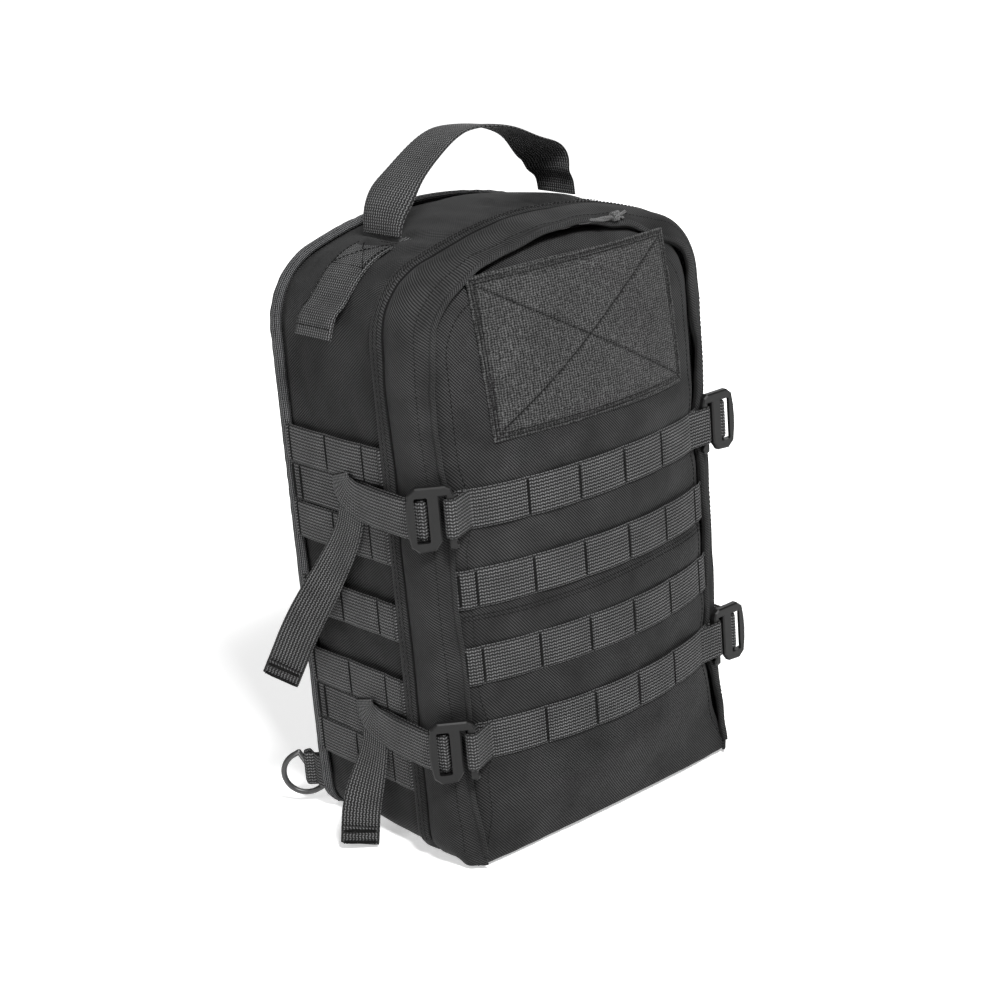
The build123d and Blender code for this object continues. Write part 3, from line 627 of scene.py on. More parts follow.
def ribbon(name, path, across, width, thick, body, replaces=(), points=14, mat=WEB,
           slot="webbing", sag=None, both_sides=False):
    """Flat webbing along path. co2 holds (along, across, side).

    The ribs of the WEB tape are carved, on both faces if both_sides; `points` across
    then gives way to the rib pitch. sag(along, across) lifts the tape along its normal.
    """
    path = np.asarray(path, float)
    across = np.broadcast_to(np.asarray(across, float), path.shape)
    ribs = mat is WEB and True
    if ribs:
        joined = resample(np.hstack([path, across]), ZIG / 4, measured=3, least=3)
        path, across = joined[:, :3], joined[:, 3:]
        points = 2 * int(width / (RIB / 4) / 2) + 1
        spread = np.linspace(-1, 1, points)
    else:
        spread = 0.55 * np.sin(np.linspace(-0.5, 0.5, points) * math.pi)
        spread = spread + 0.45 * np.linspace(-1, 1, points)
    under = spread if both_sides or not ribs else np.linspace(-1, 1, 10)
    across, normal = path_frame(path, across)
    run = run_length(path)
    count = len(path)

    def face(spread, side, carved):
        edge = (1 - np.abs(spread) ** 9) ** 0.5
        offset = np.broadcast_to(spread[None, :] * width / 2, (count, len(spread)))
        lift = 0.0 if sag is None else sag(run[:, None], offset)
        height = side * thick / 2 * edge[None, :] + lift
        if carved:
            gap = 1 - weave(run[:, None], offset)
            height = height - side * RIB_DEPTH * gap * (np.abs(spread) < 0.999)
        skin = path[:, None] + across[:, None] * offset[..., None]
        return skin + normal[:, None] * height[..., None], offset

    top, top_offset = face(spread, 1, ribs)
    bottom, bottom_offset = face(under, -1, ribs and both_sides)
    ring = np.concatenate([top, bottom[:, 1:-1][:, ::-1]], 1)
    offset = np.concatenate([top_offset, bottom_offset[:, 1:-1][:, ::-1]], 1)
    side = np.r_[np.ones(len(spread)), -np.ones(len(under) - 2)]
    cols = ring.shape[1]
    co2 = np.stack([np.broadcast_to(run[:, None], offset.shape), offset,
                    np.broadcast_to(side, offset.shape)], -1).reshape(-1, 3)
    faces = grid_faces(count, cols, True).tolist()
    faces.append(list(range(cols)))
    faces.append(list(range((count - 1) * cols, count * cols)))
    return add_part(name, ring.reshape(-1, 3), faces, mat, co2, slot, body, replaces)


def tube(path, radius, sides=8):
    """Verts, faces and co2 (along, around, 0) of a round cord with flat ends."""
    path = np.asarray(path, float)
    along = tangents(path)
    first = unit(np.cross(along[0], [0.31, 0.2, 0.93]))
    across = []
    for tangent in along:
        first = unit(first - tangent * (first @ tangent))
        across.append(first)
    across = np.array(across)
    other = np.cross(along, across)
    angle = np.linspace(0, 2 * math.pi, sides, endpoint=False)
    count = len(path)
    radius = np.broadcast_to(np.asarray(radius, float), (count,))
    ring = path[:, None] + (across[:, None] * np.cos(angle)[None, :, None]
                            + other[:, None] * np.sin(angle)[None, :, None]
                            ) * radius[:, None, None]
    run, around = np.broadcast_arrays(run_length(path)[:, None], angle[None] * radius.mean())
    faces = grid_faces(count, sides, True).tolist()
    faces.append(list(range(sides))[::-1])
    faces.append(list(range((count - 1) * sides, count * sides)))
    return ring.reshape(-1, 3), faces, flat(run, around).reshape(-1, 3)


class Bundle:
    """Collects many small closed pieces into one mesh."""

    def __init__(self):
        self.verts, self.faces, self.co2 = [], [], []
        self.count = 0

    def add(self, verts, faces, co2):
        self.verts.append(np.asarray(verts, float))
        self.co2.append(np.asarray(co2, float))
        self.faces += [[i + self.count for i in face] for face in faces]
        self.count += len(verts)

    def stitch(self, centre, along, normal, length, radius):
        """A rounded bead lying along a surface, its ends dipping into it."""
        along, normal = unit(along), unit(normal)
        across = np.cross(along, normal)
        verts = []
        for station, swell in ((-1, 0.35), (-0.55, 1.0), (0.55, 1.0), (1, 0.35)):
            dip = 0.22 if abs(station) == 1 else 0
            for k in range(5):
                angle = 2 * math.pi * k / 5
                spoke = normal * math.sin(angle) + across * math.cos(angle)
                verts.append(centre + along * station * length / 2 + spoke * radius * swell
                             - normal * dip)
        faces = grid_faces(4, 5, True).tolist()
        faces += [[4, 3, 2, 1, 0], [15, 16, 17, 18, 19]]
        self.add(verts, faces, np.tile([[self.count * 0.37, 0, 0]], (20, 1)))

    def seam(self, path, normal, pitch, length, radius, lift=0.12):
        """A row of stitches along path."""
        path = np.asarray(path, float)
        even = resample(np.hstack([path, np.broadcast_to(normal, path.shape)]), pitch)
        for point, along in zip(even, tangents(even[:, :3])):
            out = unit(point[3:])
            self.stitch(point[:3] + out * lift, along, out, length, radius)

    def bartack(self, centre, along, across, normal, width, pitch=1.05):
        """A bar of tight zigzag over two long threads."""
        centre, along, across, normal = (
            np.asarray(v, float) for v in (centre, along, across, normal))
        # the two long threads lie wide and dark under the zigzag; they also stand as painted
        # shade for the pinch at each tack
        for offset in (-0.55, 0.55):
            self.stitch(centre + unit(along) * offset - normal * 0.05, across, normal,
                        width, 0.62)
        count = int(width / pitch)
        for i in range(count):
            place = (i - (count - 1) / 2) * pitch
            slant = 0.35 if i % 2 else -0.35
            self.stitch(centre + across * place + normal * 0.22, along + across * slant,
                        normal, 2.3, 0.42)

    def build(self, name, mat, body, slot="webbing", replaces=()):
        obj = add_mesh(name, np.vstack(self.verts), self.faces, mat, np.vstack(self.co2),
                       slot, replaces)
        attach(obj, body)


# ------------------------------------------------------------------ arched outlines (x, z)
def corner(half_width, top, radius):
    """Centre of the right upper corner, which blends into the crown arc."""
    x = half_width - radius
    return x, top - CROWN_RADIUS + math.sqrt((CROWN_RADIUS - radius) ** 2 - x**2)


def half_crown(half_width, top, radius, n_corner, n_top):
    """Left upper corner and left half of the crown, short of the top point."""
    x, z = corner(half_width, top, radius)
    centre_z = top - CROWN_RADIUS
    joint = math.pi - math.atan2(z - centre_z, x)
    return np.vstack([
        arc((-x, z), radius, np.linspace(math.pi, joint, n_corner, endpoint=False)),
        arc((0, centre_z), CROWN_RADIUS, np.linspace(joint, math.pi / 2, n_top, endpoint=False))])


def outline(half_width, top, radius, base_radius, bottom=0.0):
    """Closed loop from the bottom centre to the left, over the top and back."""
    flat_end = half_width - base_radius
    side_low = bottom + base_radius
    side_high = corner(half_width, top, radius)[1]
    steps = np.linspace(0, 1, 46, endpoint=False)
    base = np.stack([-steps * flat_end, 0 * steps + bottom], 1)
    turn = np.linspace(0, math.pi / 2, 9, endpoint=False)
    low_corner = np.stack([-flat_end - base_radius * np.sin(turn),
                           side_low - base_radius * np.cos(turn)], 1)
    steps = np.linspace(0, 1, 130, endpoint=False)
    side = np.stack([0 * steps - half_width, side_low + steps * (side_high - side_low)], 1)
    crown = half_crown(half_width, top, radius, n_corner=30, n_top=48)
    half = np.vstack([base, low_corner, side, crown])
    return np.vstack([half, [[0.0, top]], half[1:][::-1] * [-1, 1]])


def arch(half_width, top, radius, low):
    """Open line from the left side at z = low, over the crown, down to the right side."""
    side_z = np.linspace(low, corner(half_width, top, radius)[1], 90, endpoint=False)
    side = np.stack([0 * side_z - half_width, side_z], 1)
    half = np.vstack([side, half_crown(half_width, top, radius, n_corner=34, n_top=40)])
    return np.vstack([half, [[0.0, top]], half[::-1] * [-1, 1]])


def outward(line, closed=True):
    """Outward normals in the x, z plane."""
    if closed:
        step = np.roll(line, -1, 0) - np.roll(line, 1, 0)
    else:
        step = np.gradient(line, axis=0)
    return unit(np.stack([-step[:, 1], step[:, 0]], 1))


def at_depth(line, y):
    """Turn an (x, z) line into points at depth y."""
    return np.stack([line[:, 0], 0 * line[:, 0] + y, line[:, 1]], -1)


def panel_grid(half_width, top, radius, base_radius, bottom, cols, rows):
    """X and Z grids of columns that fill an arched outline from bottom to crown."""
    spread = 0.6 * np.sin(np.linspace(-0.5, 0.5, cols) * math.pi)
    spread = spread + 0.4 * np.linspace(-1, 1, cols)
    x = spread * half_width * 0.99995
    side = np.abs(x)
    corner_x, corner_z = corner(half_width, top, radius)
    high = np.where(side <= corner_x * CROWN_RADIUS / (CROWN_RADIUS - radius),
                    top - CROWN_RADIUS + np.sqrt(CROWN_RADIUS**2 - x**2),
                    corner_z + np.sqrt(np.maximum(radius**2 - (side - corner_x) ** 2, 0)))
    past = side - (half_width - base_radius)
    drop = base_radius - np.sqrt(np.maximum(base_radius**2 - past**2, 0))
    low = bottom + np.where(past > 0, drop, 0)
    up = np.linspace(0, 1, rows)[:, None]
    return np.broadcast_to(x, (rows, cols)).copy(), low + (high - low) * up


def unit_grid(cols, rows):
    """Across -1..1 and up 0..1."""
    return np.meshgrid(np.linspace(-1, 1, cols), np.linspace(0, 1, rows))


# ------------------------------------------------------------------ front panel surface
def front_y(x, z):
    """Taut surface: bowed across, flatter towards the crown, rolled back at the base."""
    x = np.asarray(x, float)
    z = np.asarray(z, float)
    bow = PANEL_RADIUS - np.sqrt(np.maximum(PANEL_RADIUS**2 - x**2, 1.0))
    rise = np.clip((z - 235) / 150, 0, 1)
    y = PANEL_APEX_Y + PANEL_BOW - (PANEL_BOW - bow) * (1 - 0.83 * rise**2)
    base = smooth_step(56, 4, z)
    return y * (1 - base) + (PANEL_APEX_Y + 10 + 3 * (x / PANEL_X) ** 2) * base


def front_soft(x, z):
    """How far the fabric stands off the taut surface (negative is towards the front)."""
    x = np.asarray(x, float)
    z = np.asarray(z, float)
    points = np.stack([x, z, 0 * x + 3.3], -1)
    rows = [ROW_Z[k] for k in (4, 3, 2, 1)]
    puff = 0.0
    # pillows between the webbing rows, then above and below them
    for low, high, height in zip(rows, rows[1:], (2.6, 3.0, 2.4)):
        height = height * (0.75 + 0.5 * noise3(points, (55, 400, 1), int(low)))
        puff = puff + height * hump(z, (low + high) / 2, 19.5)
    puff = puff + 1.6 * hump(z, rows[3] + 25, 18) + 3.6 * hump(z, rows[0] - 34, 30)
    # pull lines that fan out from each hook
    for hook_z, height in ((rows[0], 0.85), (rows[3], 0.8)):
        for sign in (-1, 1):
            from_x = x - sign * PANEL_X * 0.97
            from_z = z - hook_z
            reach = np.hypot(from_x, from_z)
            angle = np.arctan2(from_z, -from_x * sign)
            fade = np.exp(-reach / 34) * smooth_step(4, 26, reach)
            fade = fade * smooth_step(1.9, 0.9, np.abs(angle))
            puff = puff + height * np.cos(angle * 6 + 1.3 * sign) * fade
    on_row = np.clip(sum(hump(z, row, 16) for row in rows), 0, 1)
    creases = 2.1 * layered(flat(x * 0.6 + z * 0.25, z - x * 0.15), 30, 3, 2)
    creases = creases + 0.22 * layered(points, 11, 9, 2)
    puff = puff * (1 - 0.75 * on_row) + creases * (1 - 0.8 * on_row)
    under_patch = smooth_step(PATCH_LOW[2] - 5, PATCH_LOW[2] + 3, z)
    under_patch = under_patch * smooth_step(PATCH_HIGH[2] + 5, PATCH_HIGH[2] - 3, z)
    under_patch = under_patch * smooth_step(PATCH_HIGH[0] + 6, PATCH_HIGH[0] - 3, np.abs(x))
    puff = puff * (1 - 0.85 * under_patch)
    return -puff * np.clip(1 - (np.abs(x) / PANEL_X) ** 6, 0, 1)


def front_at(x, z):
    return front_y(x, z) + front_soft(x, z)


def front_normal(x, z):
    x = np.asarray(x, float)
    z = np.asarray(z, float)
    slope_x = (front_y(x + 1.0, z) - front_y(x - 1.0, z)) / 2
    slope_z = (front_y(x, z + 1.0) - front_y(x, z - 1.0)) / 2
    return unit(np.stack([slope_x, -np.ones_like(slope_x), slope_z], -1))


def on_front(x, z, back=0.0):
    """Points on the taut front, moved along y by back."""
    return np.stack([x, front_y(x, z) + back, z], -1)


# ------------------------------------------------------------------ main shell
def build_gusset():
    """Side, top and base wall, sagging between its front and rear seams."""
    depths = np.concatenate([np.linspace(-49.2, -28, 9), np.linspace(-24, 60, 30),
                             np.linspace(62.5, 72.6, 7)])
    rows, layout = [], []
    for y in depths:
        top = SHELL_TOP + 6.6 * smooth_step(-30, 12, y) - 7.6 * smooth_step(22, 72, y)
        line = outline(SHELL_X - 0.4, top - 0.3, SHELL_CORNER, BASE_CORNER)
        normal = outward(line)
        run = run_length(line)
        points = at_depth(line, y)
        x, z = line.T
        near_seam = hump(y, -30, 7) + hump(y, 71, 9)
        side = smooth_step(80, 118, np.abs(x)) * smooth_step(385, 350, z)
        base = smooth_step(26, 8, z)
        crown = smooth_step(330, 392, z)
        push = 1.9 * (layered(points, (48, 26, 34), 21, 2) - 0.75) * (1 - 0.5 * base)
        hollow = 0.45 + 0.55 * noise3(points, (200, 45, 60), 5)
        push -= 1.5 * side * hollow * (1 - near_seam) * hump(y, 20, 55)
        gathers = np.sin(x / 9.0 + 1.6 * np.sin(x / 31)) * hump(y, -24, 16)
        dip = (0.5 + 0.5 * noise3(points, (42, 30, 42), 8)) * hump(y, 10, 34)
        push += crown * (0.42 * gathers - 2.4 * dip)
        push -= 1.6 * hump(y, -27, 4.5) + 1.4 * hump(y, 67, 4.2)
        # fine pleats that run back from the front seam over the top
        fan = smooth_step(-27, -20, y) * smooth_step(26, -16, y) * smooth_step(300, 330, z)
        pleats = np.sin(run / 3.6 + y / 9.0 + 2.0 * run_noise(run, 50, 15)) - 0.6
        push += 1.1 * fan * pleats * (0.5 + 0.5 * run_noise(run, 36, 16))
        line = line + normal * np.minimum(push, 0.5)[:, None]
        line[:, 1] = np.maximum(line[:, 1], 0.15)
        rows.append(at_depth(line, y))
        layout.append(flat(run, y))
    add_skin("gusset_shell", np.array(rows), np.array(layout), 1.7, FABRIC, "shell_fabric",
             "pack", ("side_gusset",), rim="loop")


# section of the rear binding: (distance outside the outline, y)
BINDING = [(-1.6, 66.6), (0.45, 66.2), (1.25, 68.0), (1.7, 70.5), (1.9, 73.0), (1.0, 75.2),
           (-1.2, 75.9), (-4.0, 75.9), (-4.4, 75.3)]


def build_back():
    """Rear panel and its bound edge."""
    x, z = panel_grid(SHELL_X - 1.2, BACK_TOP - 0.4, SHELL_CORNER, 19, 0.6, cols=70, rows=110)
    y = 74.2 + 0.35 * layered(flat(x, z), 45, 31, 3)
    add_skin("back_skin", np.stack([x, y, z], -1), flat(x, z), 1.8, FABRIC, "shell_fabric",
             "pack", ("back_panel",), sign=-1.0)

    line = outline(SHELL_X + 0.1, BACK_TOP + 0.3, SHELL_CORNER, BASE_CORNER)
    normal = outward(line)
    run = run_length(line)
    rows, layout = [], []
    for i, (out, y) in enumerate(BINDING):
        wobble = 0 * run
        if 0 < i < 7:
            wobble = 0.22 * np.sin(run / 1.9 + i) * (0.5 + 0.5 * np.sin(run / 17.0))
            cells = np.stack([run, 0 * run, 0 * run + i], -1)
            wobble = wobble + 0.25 * noise3(cells, (11, 1, 3), 3)
        row = line + normal * (out + wobble)[:, None]
        row[:, 1] = np.maximum(row[:, 1], 0.05)
        rows.append(at_depth(row, y))
        layout.append(flat(run, i * 2.4))
    add_skin("edge_binding", np.array(rows), np.array(layout), 0.9, FINE_WEB, "zip_tape",
             "pack", ("seam_binding",), rim="loop")

    above = line[:, 1] > 3
    stitches = Bundle()
    stitches.seam(at_depth((line + normal * 1.45)[above], 69.0), at_depth(normal[above], 0),
                  pitch=3.0, length=2.2, radius=0.26)
    stitches.seam(at_depth((line + normal * -3.4)[above], 75.9), [0, 1, 0],
                  pitch=3.2, length=2.3, radius=0.26)
    stitches.build("rear_seam_stitches", THREAD, "pack", "shell_fabric")


# ------------------------------------------------------------------ storm flap round the zip
# section from the shell seam, round the front roll, to the free edge: (radius, y)
FLAP_ROLL = 13
FLAP_SECTION = [(13.0, -29.4), (13.6, -31.0), (13.65, -33.4), (13.5, -36.6), (11.9, -38.4),
                (11.2, -39.4), (12.4, -41.8), (13.5, -45.5), (13.7, -49), (13.3, -53)]
FLAP_SECTION += [(FLAP_ROLL * math.cos(a), -53 - FLAP_ROLL * math.sin(a))
                 for a in np.radians(np.linspace(10, 84, 12))]
FLAP_SECTION += [(0.4, -67.4), (-1.2, -68.3), (-2.2, -68.6), (-3.0, -68.2)]


def near_hooks(z, reach):
    return hump(z, HOOK_Z["lower"], reach) + hump(z, HOOK_Z["upper"], reach)


def flap_row(radius, y, section_run, share):
    """One line of the flap; section_run is mm from the seam, share 0..1 of the section."""
    line = arch(FLAP_X - FLAP_ROLL + radius, FLAP_TOP - FLAP_ROLL + radius, 36 + radius, 2.6)
    normal = outward(line, closed=False)
    run = run_length(line)
    points = at_depth(line, y)
    x, z = line.T
    up = smooth_step(350, 385, z)
    free = smooth_step(0.40, 1.0, share)
    # the free edge wanders sideways and is drawn in near the hooks
    wander = (-3.2 * hump(z, 128, 62) + 2.6 * hump(z, 285, 55)
              - 2.2 * hump(z, HOOK_Z["lower"], 34) - 1.6 * hump(z, HOOK_Z["upper"], 30))
    wave = 1.5 * run_noise(run, 34, 40) + 0.8 * run_noise(run, 13, 44)
    pucker = 0.42 * np.sin(run / 1.75 + 2 * np.sin(run / 29))
    pucker = pucker * (0.4 + 0.6 * run_noise(run, 24, 50)) * hump(section_run, 5.5, 6)
    fold = 2.3 * layered(points, (24, 34, 26), 61, 2) * smooth_step(0, 0.25, share)
    pinch = -2.4 * near_hooks(z, 24) * smooth_step(0.2, 0.6, share) * (1 - up)
    push = pucker + fold * 0.8 - 0.7 * smooth_step(0.1, 0.4, share) + pinch
    push = push + (wander * (1 - up) + wave) * free * np.where(np.abs(x) > 60, 1, 0.8)
    if section_run < 1:
        push = np.minimum(push, 0.3)
    # the hood over the middle of the top stands up
    hood = smooth_step(96, 58, np.abs(x + 6)) * up
    push = push + 9.5 * hood * smooth_step(0.52, 1.0, share) * (0.86 + 0.14 * np.cos(x / 14.0))
    row = line + normal * push[:, None]
    below = np.clip(BASE_CORNER - z, 0, 19.5)
    tuck = BASE_CORNER - np.sqrt(BASE_CORNER**2 - below**2)
    row[:, 0] -= np.sign(x) * tuck * (1 - 0.9 * smooth_step(0.35, 0.75, share))
    depth = y - 8.5 * smooth_step(64, 8, z) * free + (run_noise(run, 40, 70) + 0.8) * free
    depth = depth + 1.6 * free * near_hooks(z, 30) * (1 - up)
    return at_depth(row, depth), flat(run, section_run)


def build_flap():
    count = len(FLAP_SECTION)
    section_run = run_length(np.array(FLAP_SECTION))
    rows = [flap_row(radius, y, section_run[i], i / (count - 1))
            for i, (radius, y) in enumerate(FLAP_SECTION)]
    grid = np.array([row for row, _ in rows])
    step = np.arange(count)
    thick = 1.3 + 1.6 * smooth_step(count - 8.5, count - 6.0, step)
    thick = thick + 0.9 * smooth_step(3.2, 1.8, step)
    add_skin("flap_fabric", grid, np.array([layout for _, layout in rows]), thick,
             FLAP_FABRIC, "shell_fabric", "pack", ("storm_flap",), sign=-1.0)

    normal = grid_normals(grid) * -1.0
    stitches = Bundle()
    for row, lift in ((2, 0.15), (3, 0.15), (count - 9, 0.1)):
        stitches.seam(grid[row][3:-3], normal[row][3:-3], pitch=3.3, length=2.4,
                      radius=0.27, lift=lift)
    stitches.build("flap_stitches", THREAD, "pack", "shell_fabric")

    # rolled free edge, thinner where the hooks press on it
    edge_z = grid[-2][:, 2]
    free = (1 - hump(edge_z, HOOK_Z["lower"], 24)) * (1 - hump(edge_z, HOOK_Z["upper"], 24))
    edge = grid[-2] - normal[-2] * (0.4 - 0.35 * free)[:, None]
    verts, faces, co2 = tube(edge[2:-2], (1.5 + 0.45 * free)[2:-2])
    add_part("flap_edge_roll", verts, faces, FLAP_FABRIC, co2, "shell_fabric", "pack")
    # dark tubes as painted shadow: one just inside the free edge for the shade of the gap under
    # it, one sunk in the shell seam for the shade in its groove
    inward = unit(grid[-1] - grid[-3])
    edge_shadow_path = grid[-1] + inward * 1.3 - normal[-1] * 1.3
    seam_shadow_path = grid[5] + normal[5] * 0.25
    for name, path, radius in (("flap_edge_painted_shadow", edge_shadow_path, 1.3),
                               ("flap_seam_painted_shadow", seam_shadow_path, 0.85)):
        verts, faces, co2 = tube(path[3:-3], radius)
        add_part(name, verts, faces, SHADOW_TUBE_CLOTH, co2, "shell_fabric", "pack")


# ------------------------------------------------------------------ front panel
def build_front():
    """Padded tray: a short rear wall, a rounded rim, then rings closing on a centre."""
    rim = outline(PANEL_X - 1.3, PANEL_TOP - 1.0, 46, 6, PANEL_BASE - 2.0)
    pinch = hump(rim[:, 1], HOOK_Z["lower"] - 1, 30) + hump(rim[:, 1], HOOK_Z["upper"], 29)
    at_side = np.abs(rim[:, 0]) > PANEL_X * 0.8
    rim[:, 0] -= np.sign(rim[:, 0]) * np.where(at_side, pinch, 0) * 5.6
    normal = outward(rim)
    run = run_length(rim)
    radius = 2.6 + 8.4 * smooth_step(3, 34, rim[:, 1])
    rows, layout = [], []
    for y in (PANEL_REAR_Y - 0.2, PANEL_REAR_Y - 2.2):
        rows.append(at_depth(rim, y))
        layout.append(flat(run, y))
    wall_y = PANEL_REAR_Y - 2.6
    for angle in np.radians(np.linspace(0, 90, 9)):
        line = rim - normal * (radius * (1 - math.cos(angle)))[:, None]
        face_y = front_y(*line.T) + front_soft(*line.T) * math.sin(angle)
        round_y = np.minimum(radius, np.maximum(1.5, wall_y - face_y))
        y = face_y + round_y * (1 - math.sin(angle))
        rows.append(at_depth(line, np.minimum(y, wall_y)))
        layout.append(flat(*line.T))
    face = rim - normal * radius[:, None]
    centre = np.array([0.0, 195.0])
    for scale in (1 - np.linspace(0, 1, 56))[1:]:
        line = centre + (face - centre) * max(scale, 0.012)
        rows.append(at_depth(line, front_at(*line.T)))
        layout.append(flat(*line.T))
    add_skin("front_cushion", np.array(rows), np.array(layout), 1.8, FABRIC, "shell_fabric",
             "front_door", ("front_panel",), rim="capped", sign=-1.0)

    # double topstitch under the second row, and one line round the face
    stitches = Bundle()
    for below in (-17.6, -20.2):
        x = np.linspace(-PANEL_X + 9, PANEL_X - 9, 90)
        z = 0 * x + ROW_Z[2] + below + 0.8 * np.sin(x / 40)
        stitches.seam(np.stack([x, front_at(x, z) - 0.1, z], -1), front_normal(x, z),
                      pitch=3.2, length=2.3, radius=0.27)
    line = centre + (face - centre) * 0.985
    line = line[line[:, 1] > 14]
    stitches.seam(at_depth(line, front_at(*line.T) - 0.1), front_normal(*line.T),
                  pitch=3.3, length=2.4, radius=0.27)
    stitches.build("front_stitches", THREAD, "front_door", "shell_fabric")


def build_patch():
    """Rectangle of loop pile, slightly skewed, with a double border and a sewn cross."""
    x0, _, z0 = PATCH_LOW
    x1, _, z1 = PATCH_HIGH

    def inset(gap):
        return [(x0 + gap, z0 + gap), (x1 - gap, z0 + gap), (x1 - gap, z1 - gap),
                (x0 + gap, z1 - gap)]

    def skew(x, z, up):
        return x + 6.5 - 4.0 * up, z + 2.5 + 2.0 * up

    lines = []
    for gap in (2.2, 4.4):
        corners = inset(gap)
        lines += zip(corners, corners[1:] + corners[:1])
    corners = inset(6)
    lines += [(corners[0], corners[2]), (corners[3], corners[1])]

    across, up = np.meshgrid(np.linspace(0, 1, 150), np.linspace(0, 1, 92))
    x = x0 + (x1 - x0) * across
    x = x + 0.5 * noise3(flat(across * 9, up * 9), 1.0, 4) * (np.abs(across - 0.5) * 2) ** 8
    z = z0 + (z1 - z0) * up + 0.7 * np.sin(across * 5.1) * (np.abs(up - 0.5) * 2) ** 8
    points = np.stack([x, z], -1)
    distance = np.min([segment_distance(points, *line) for line in lines], 0)
    groove = np.exp(-(distance / 0.85) ** 2)
    x, z = skew(x, z, up)
    puff = 0.5 * layered(flat(x, z), 18, 12, 2) + 0.22 * noise3(flat(x, z), 2.6, 14)
    y = front_y(x, z) - 1.95 - puff * (1 - groove) + 1.15 * groove
    edge = np.minimum(np.minimum(across, 1 - across) * (x1 - x0),
                      np.minimum(up, 1 - up) * (z1 - z0))
    y = y + 0.7 * np.exp(-edge / 0.8)
    add_skin("patch_pile", np.stack([x, y, z], -1), np.stack([x, z, groove], -1), 1.5, PILE,
             "loop_pile", "front_door", ("loop_field",))

    stitches = Bundle()
    t = np.linspace(0, 1, 60)[:, None]
    for start, end in lines:
        line = np.array(start) * (1 - t) + np.array(end) * t
        x, z = skew(line[:, 0], line[:, 1], (line[:, 1] - z0) / (z1 - z0))
        stitches.seam(on_front(x, z, -0.9), front_normal(x, z), pitch=2.9, length=2.2,
                      radius=0.30)
    stitches.build("patch_stitches", THREAD, "front_door", "loop_pile")


# ------------------------------------------------------------------ attachment webbing
def tack_lift(run, tacks, rise):
    """Rise between neighbouring tacks, 0 at each tack."""
    tacks = np.sort(np.asarray(tacks))
    k = np.clip(np.searchsorted(tacks, run) - 1, 0, len(tacks) - 2)
    share = np.clip((run - tacks[k]) / (tacks[k + 1] - tacks[k]), 0, 1)
    inside = (run > tacks[0]) & (run < tacks[-1])
    return 1.25 * rise * np.sin(np.pi * share) ** 0.42 * inside


def build_rows():
    """Four rows of tape across the front, tacked at an even pitch."""
    tacks = [(j - 2.5) * TACK_PITCH for j in range(6)]
    for k, z in ROW_Z.items():
        node = "front_webbing_row_%d" % k
        low, high = box_mm(node)
        width = high[0] - low[0]
        half = width / 2 + (1.5 if width > 206 else 0)
        inset = 1.5 if half < 103 else 3
        x = np.linspace(-half, half, int(half * 2 / 1.1))
        lift = tack_lift(x, [-half + inset] + tacks + [half - inset], 0.95)
        path = np.stack([x, front_y(x, 0 * x + z) - 1.25 - lift,
                         z + 0.35 * np.sin(x / 31.0 + k)], -1)
        ribbon("front_tape_%d" % k, path, [0, 0, 1], 25.2, 1.5, "front_door", (node,),
               points=16)
        bars = Bundle()
        for x in tacks:
            normal = front_normal(x, z)
            centre = [x, float(front_y(x, z)) - 2.15, z + 0.35 * math.sin(x / 31.0 + k)]
            bars.bartack(centre, np.cross([0, 0, 1], normal), [0, 0, 1], normal, 23.0)
        for x in (-half + 2.2, half - 2.2):
            bars.bartack([x, float(front_y(x, z)) - 2.15, z], [1, 0, 0], [0, 0, 1],
                         front_normal(x, z), 22.0)
        bars.build("front_tacks_%d" % k, TACK_THREAD, "front_door")


def build_side_webbing():
    tacks = [66, 27.9, -10.2, -26]
    for side, sign in SIDES:
        node = "side_webbing_" + side
        low, high = box_mm(node)
        bars = Bundle()
        for i, z in enumerate(SIDE_Z):
            y = np.linspace(low[1] + 0.3, high[1] - 0.3, 80)
            x = sign * (SHELL_X + 0.95 + tack_lift(y, [-28] + tacks + [69], 0.75))
            path = np.stack([x, y, z + 0.3 * np.sin(y / 22 + i)], -1)
            ribbon("side_tape_%s_%d" % (side, i), path, [0, 0, 1], 25.0, 1.4, "pack",
                   (node,) if i == 0 else ())
            for tack in tacks:
                bars.bartack([sign * (SHELL_X + 1.75), tack, z], [0, 1, 0], [0, 0, 1],
                             [sign, 0, 0], 23.0)
        bars.build("side_tacks_" + side, TACK_THREAD, "pack")


# ------------------------------------------------------------------ compression straps
# plan lines along the shell, as (distance outside the shell's strap plane, y)
STRAP_REAR = [(0, 68.0), (0, 40), (0.1, 10), (0.3, -10)]
STRAP_TO_HOOK = {"left": [(1.7, -21), (2.9, -40), (3.2, -58)],
                 "right": [(2.2, -21), (4.6, -42), (3.4, -57)]}
STRAP_FROM_HOOK = {"left": [(6.0, -54), (6.0, -40), (5.3, -22)],
                   "right": [(9.7, -54), (9.4, -38), (5.6, -22)]}
STRAP_RETURN = [(3.4, -9), (2.6, 0), (2.4, 7), (2.2, 11.4), (1.9, 13.6)]
RETURN_CLIMB = [0.8, 3.6, 8.2, 14.2]        # z added to the last four points

# hanging ends: line is (outward, y, above the tail's top), end is (outward, y, above the
# strap's CAD base), across is the width direction at the end, twist in degrees
TAILS = {
    "upper": dict(line=[(-0.4, 6, 6), (-0.2, 5, 0), (2.4, 9, -18), (5.5, 24, -45),
                        (11, 46, -82)],
                  end=(17.5, 70, 1.5), across=[0, 0.85, 0.53], twist=34.0),
    "lower": dict(line=[(-0.4, 5, 6), (-0.2, 5, 0), (2.6, 5.5, -18), (6.0, 7, -44)],
                  end=(9.4, 8.8, -3.6), across=[0, 1, 0.05], twist=46.0),
}
TAIL_STEP = 1.3
HEM = 13


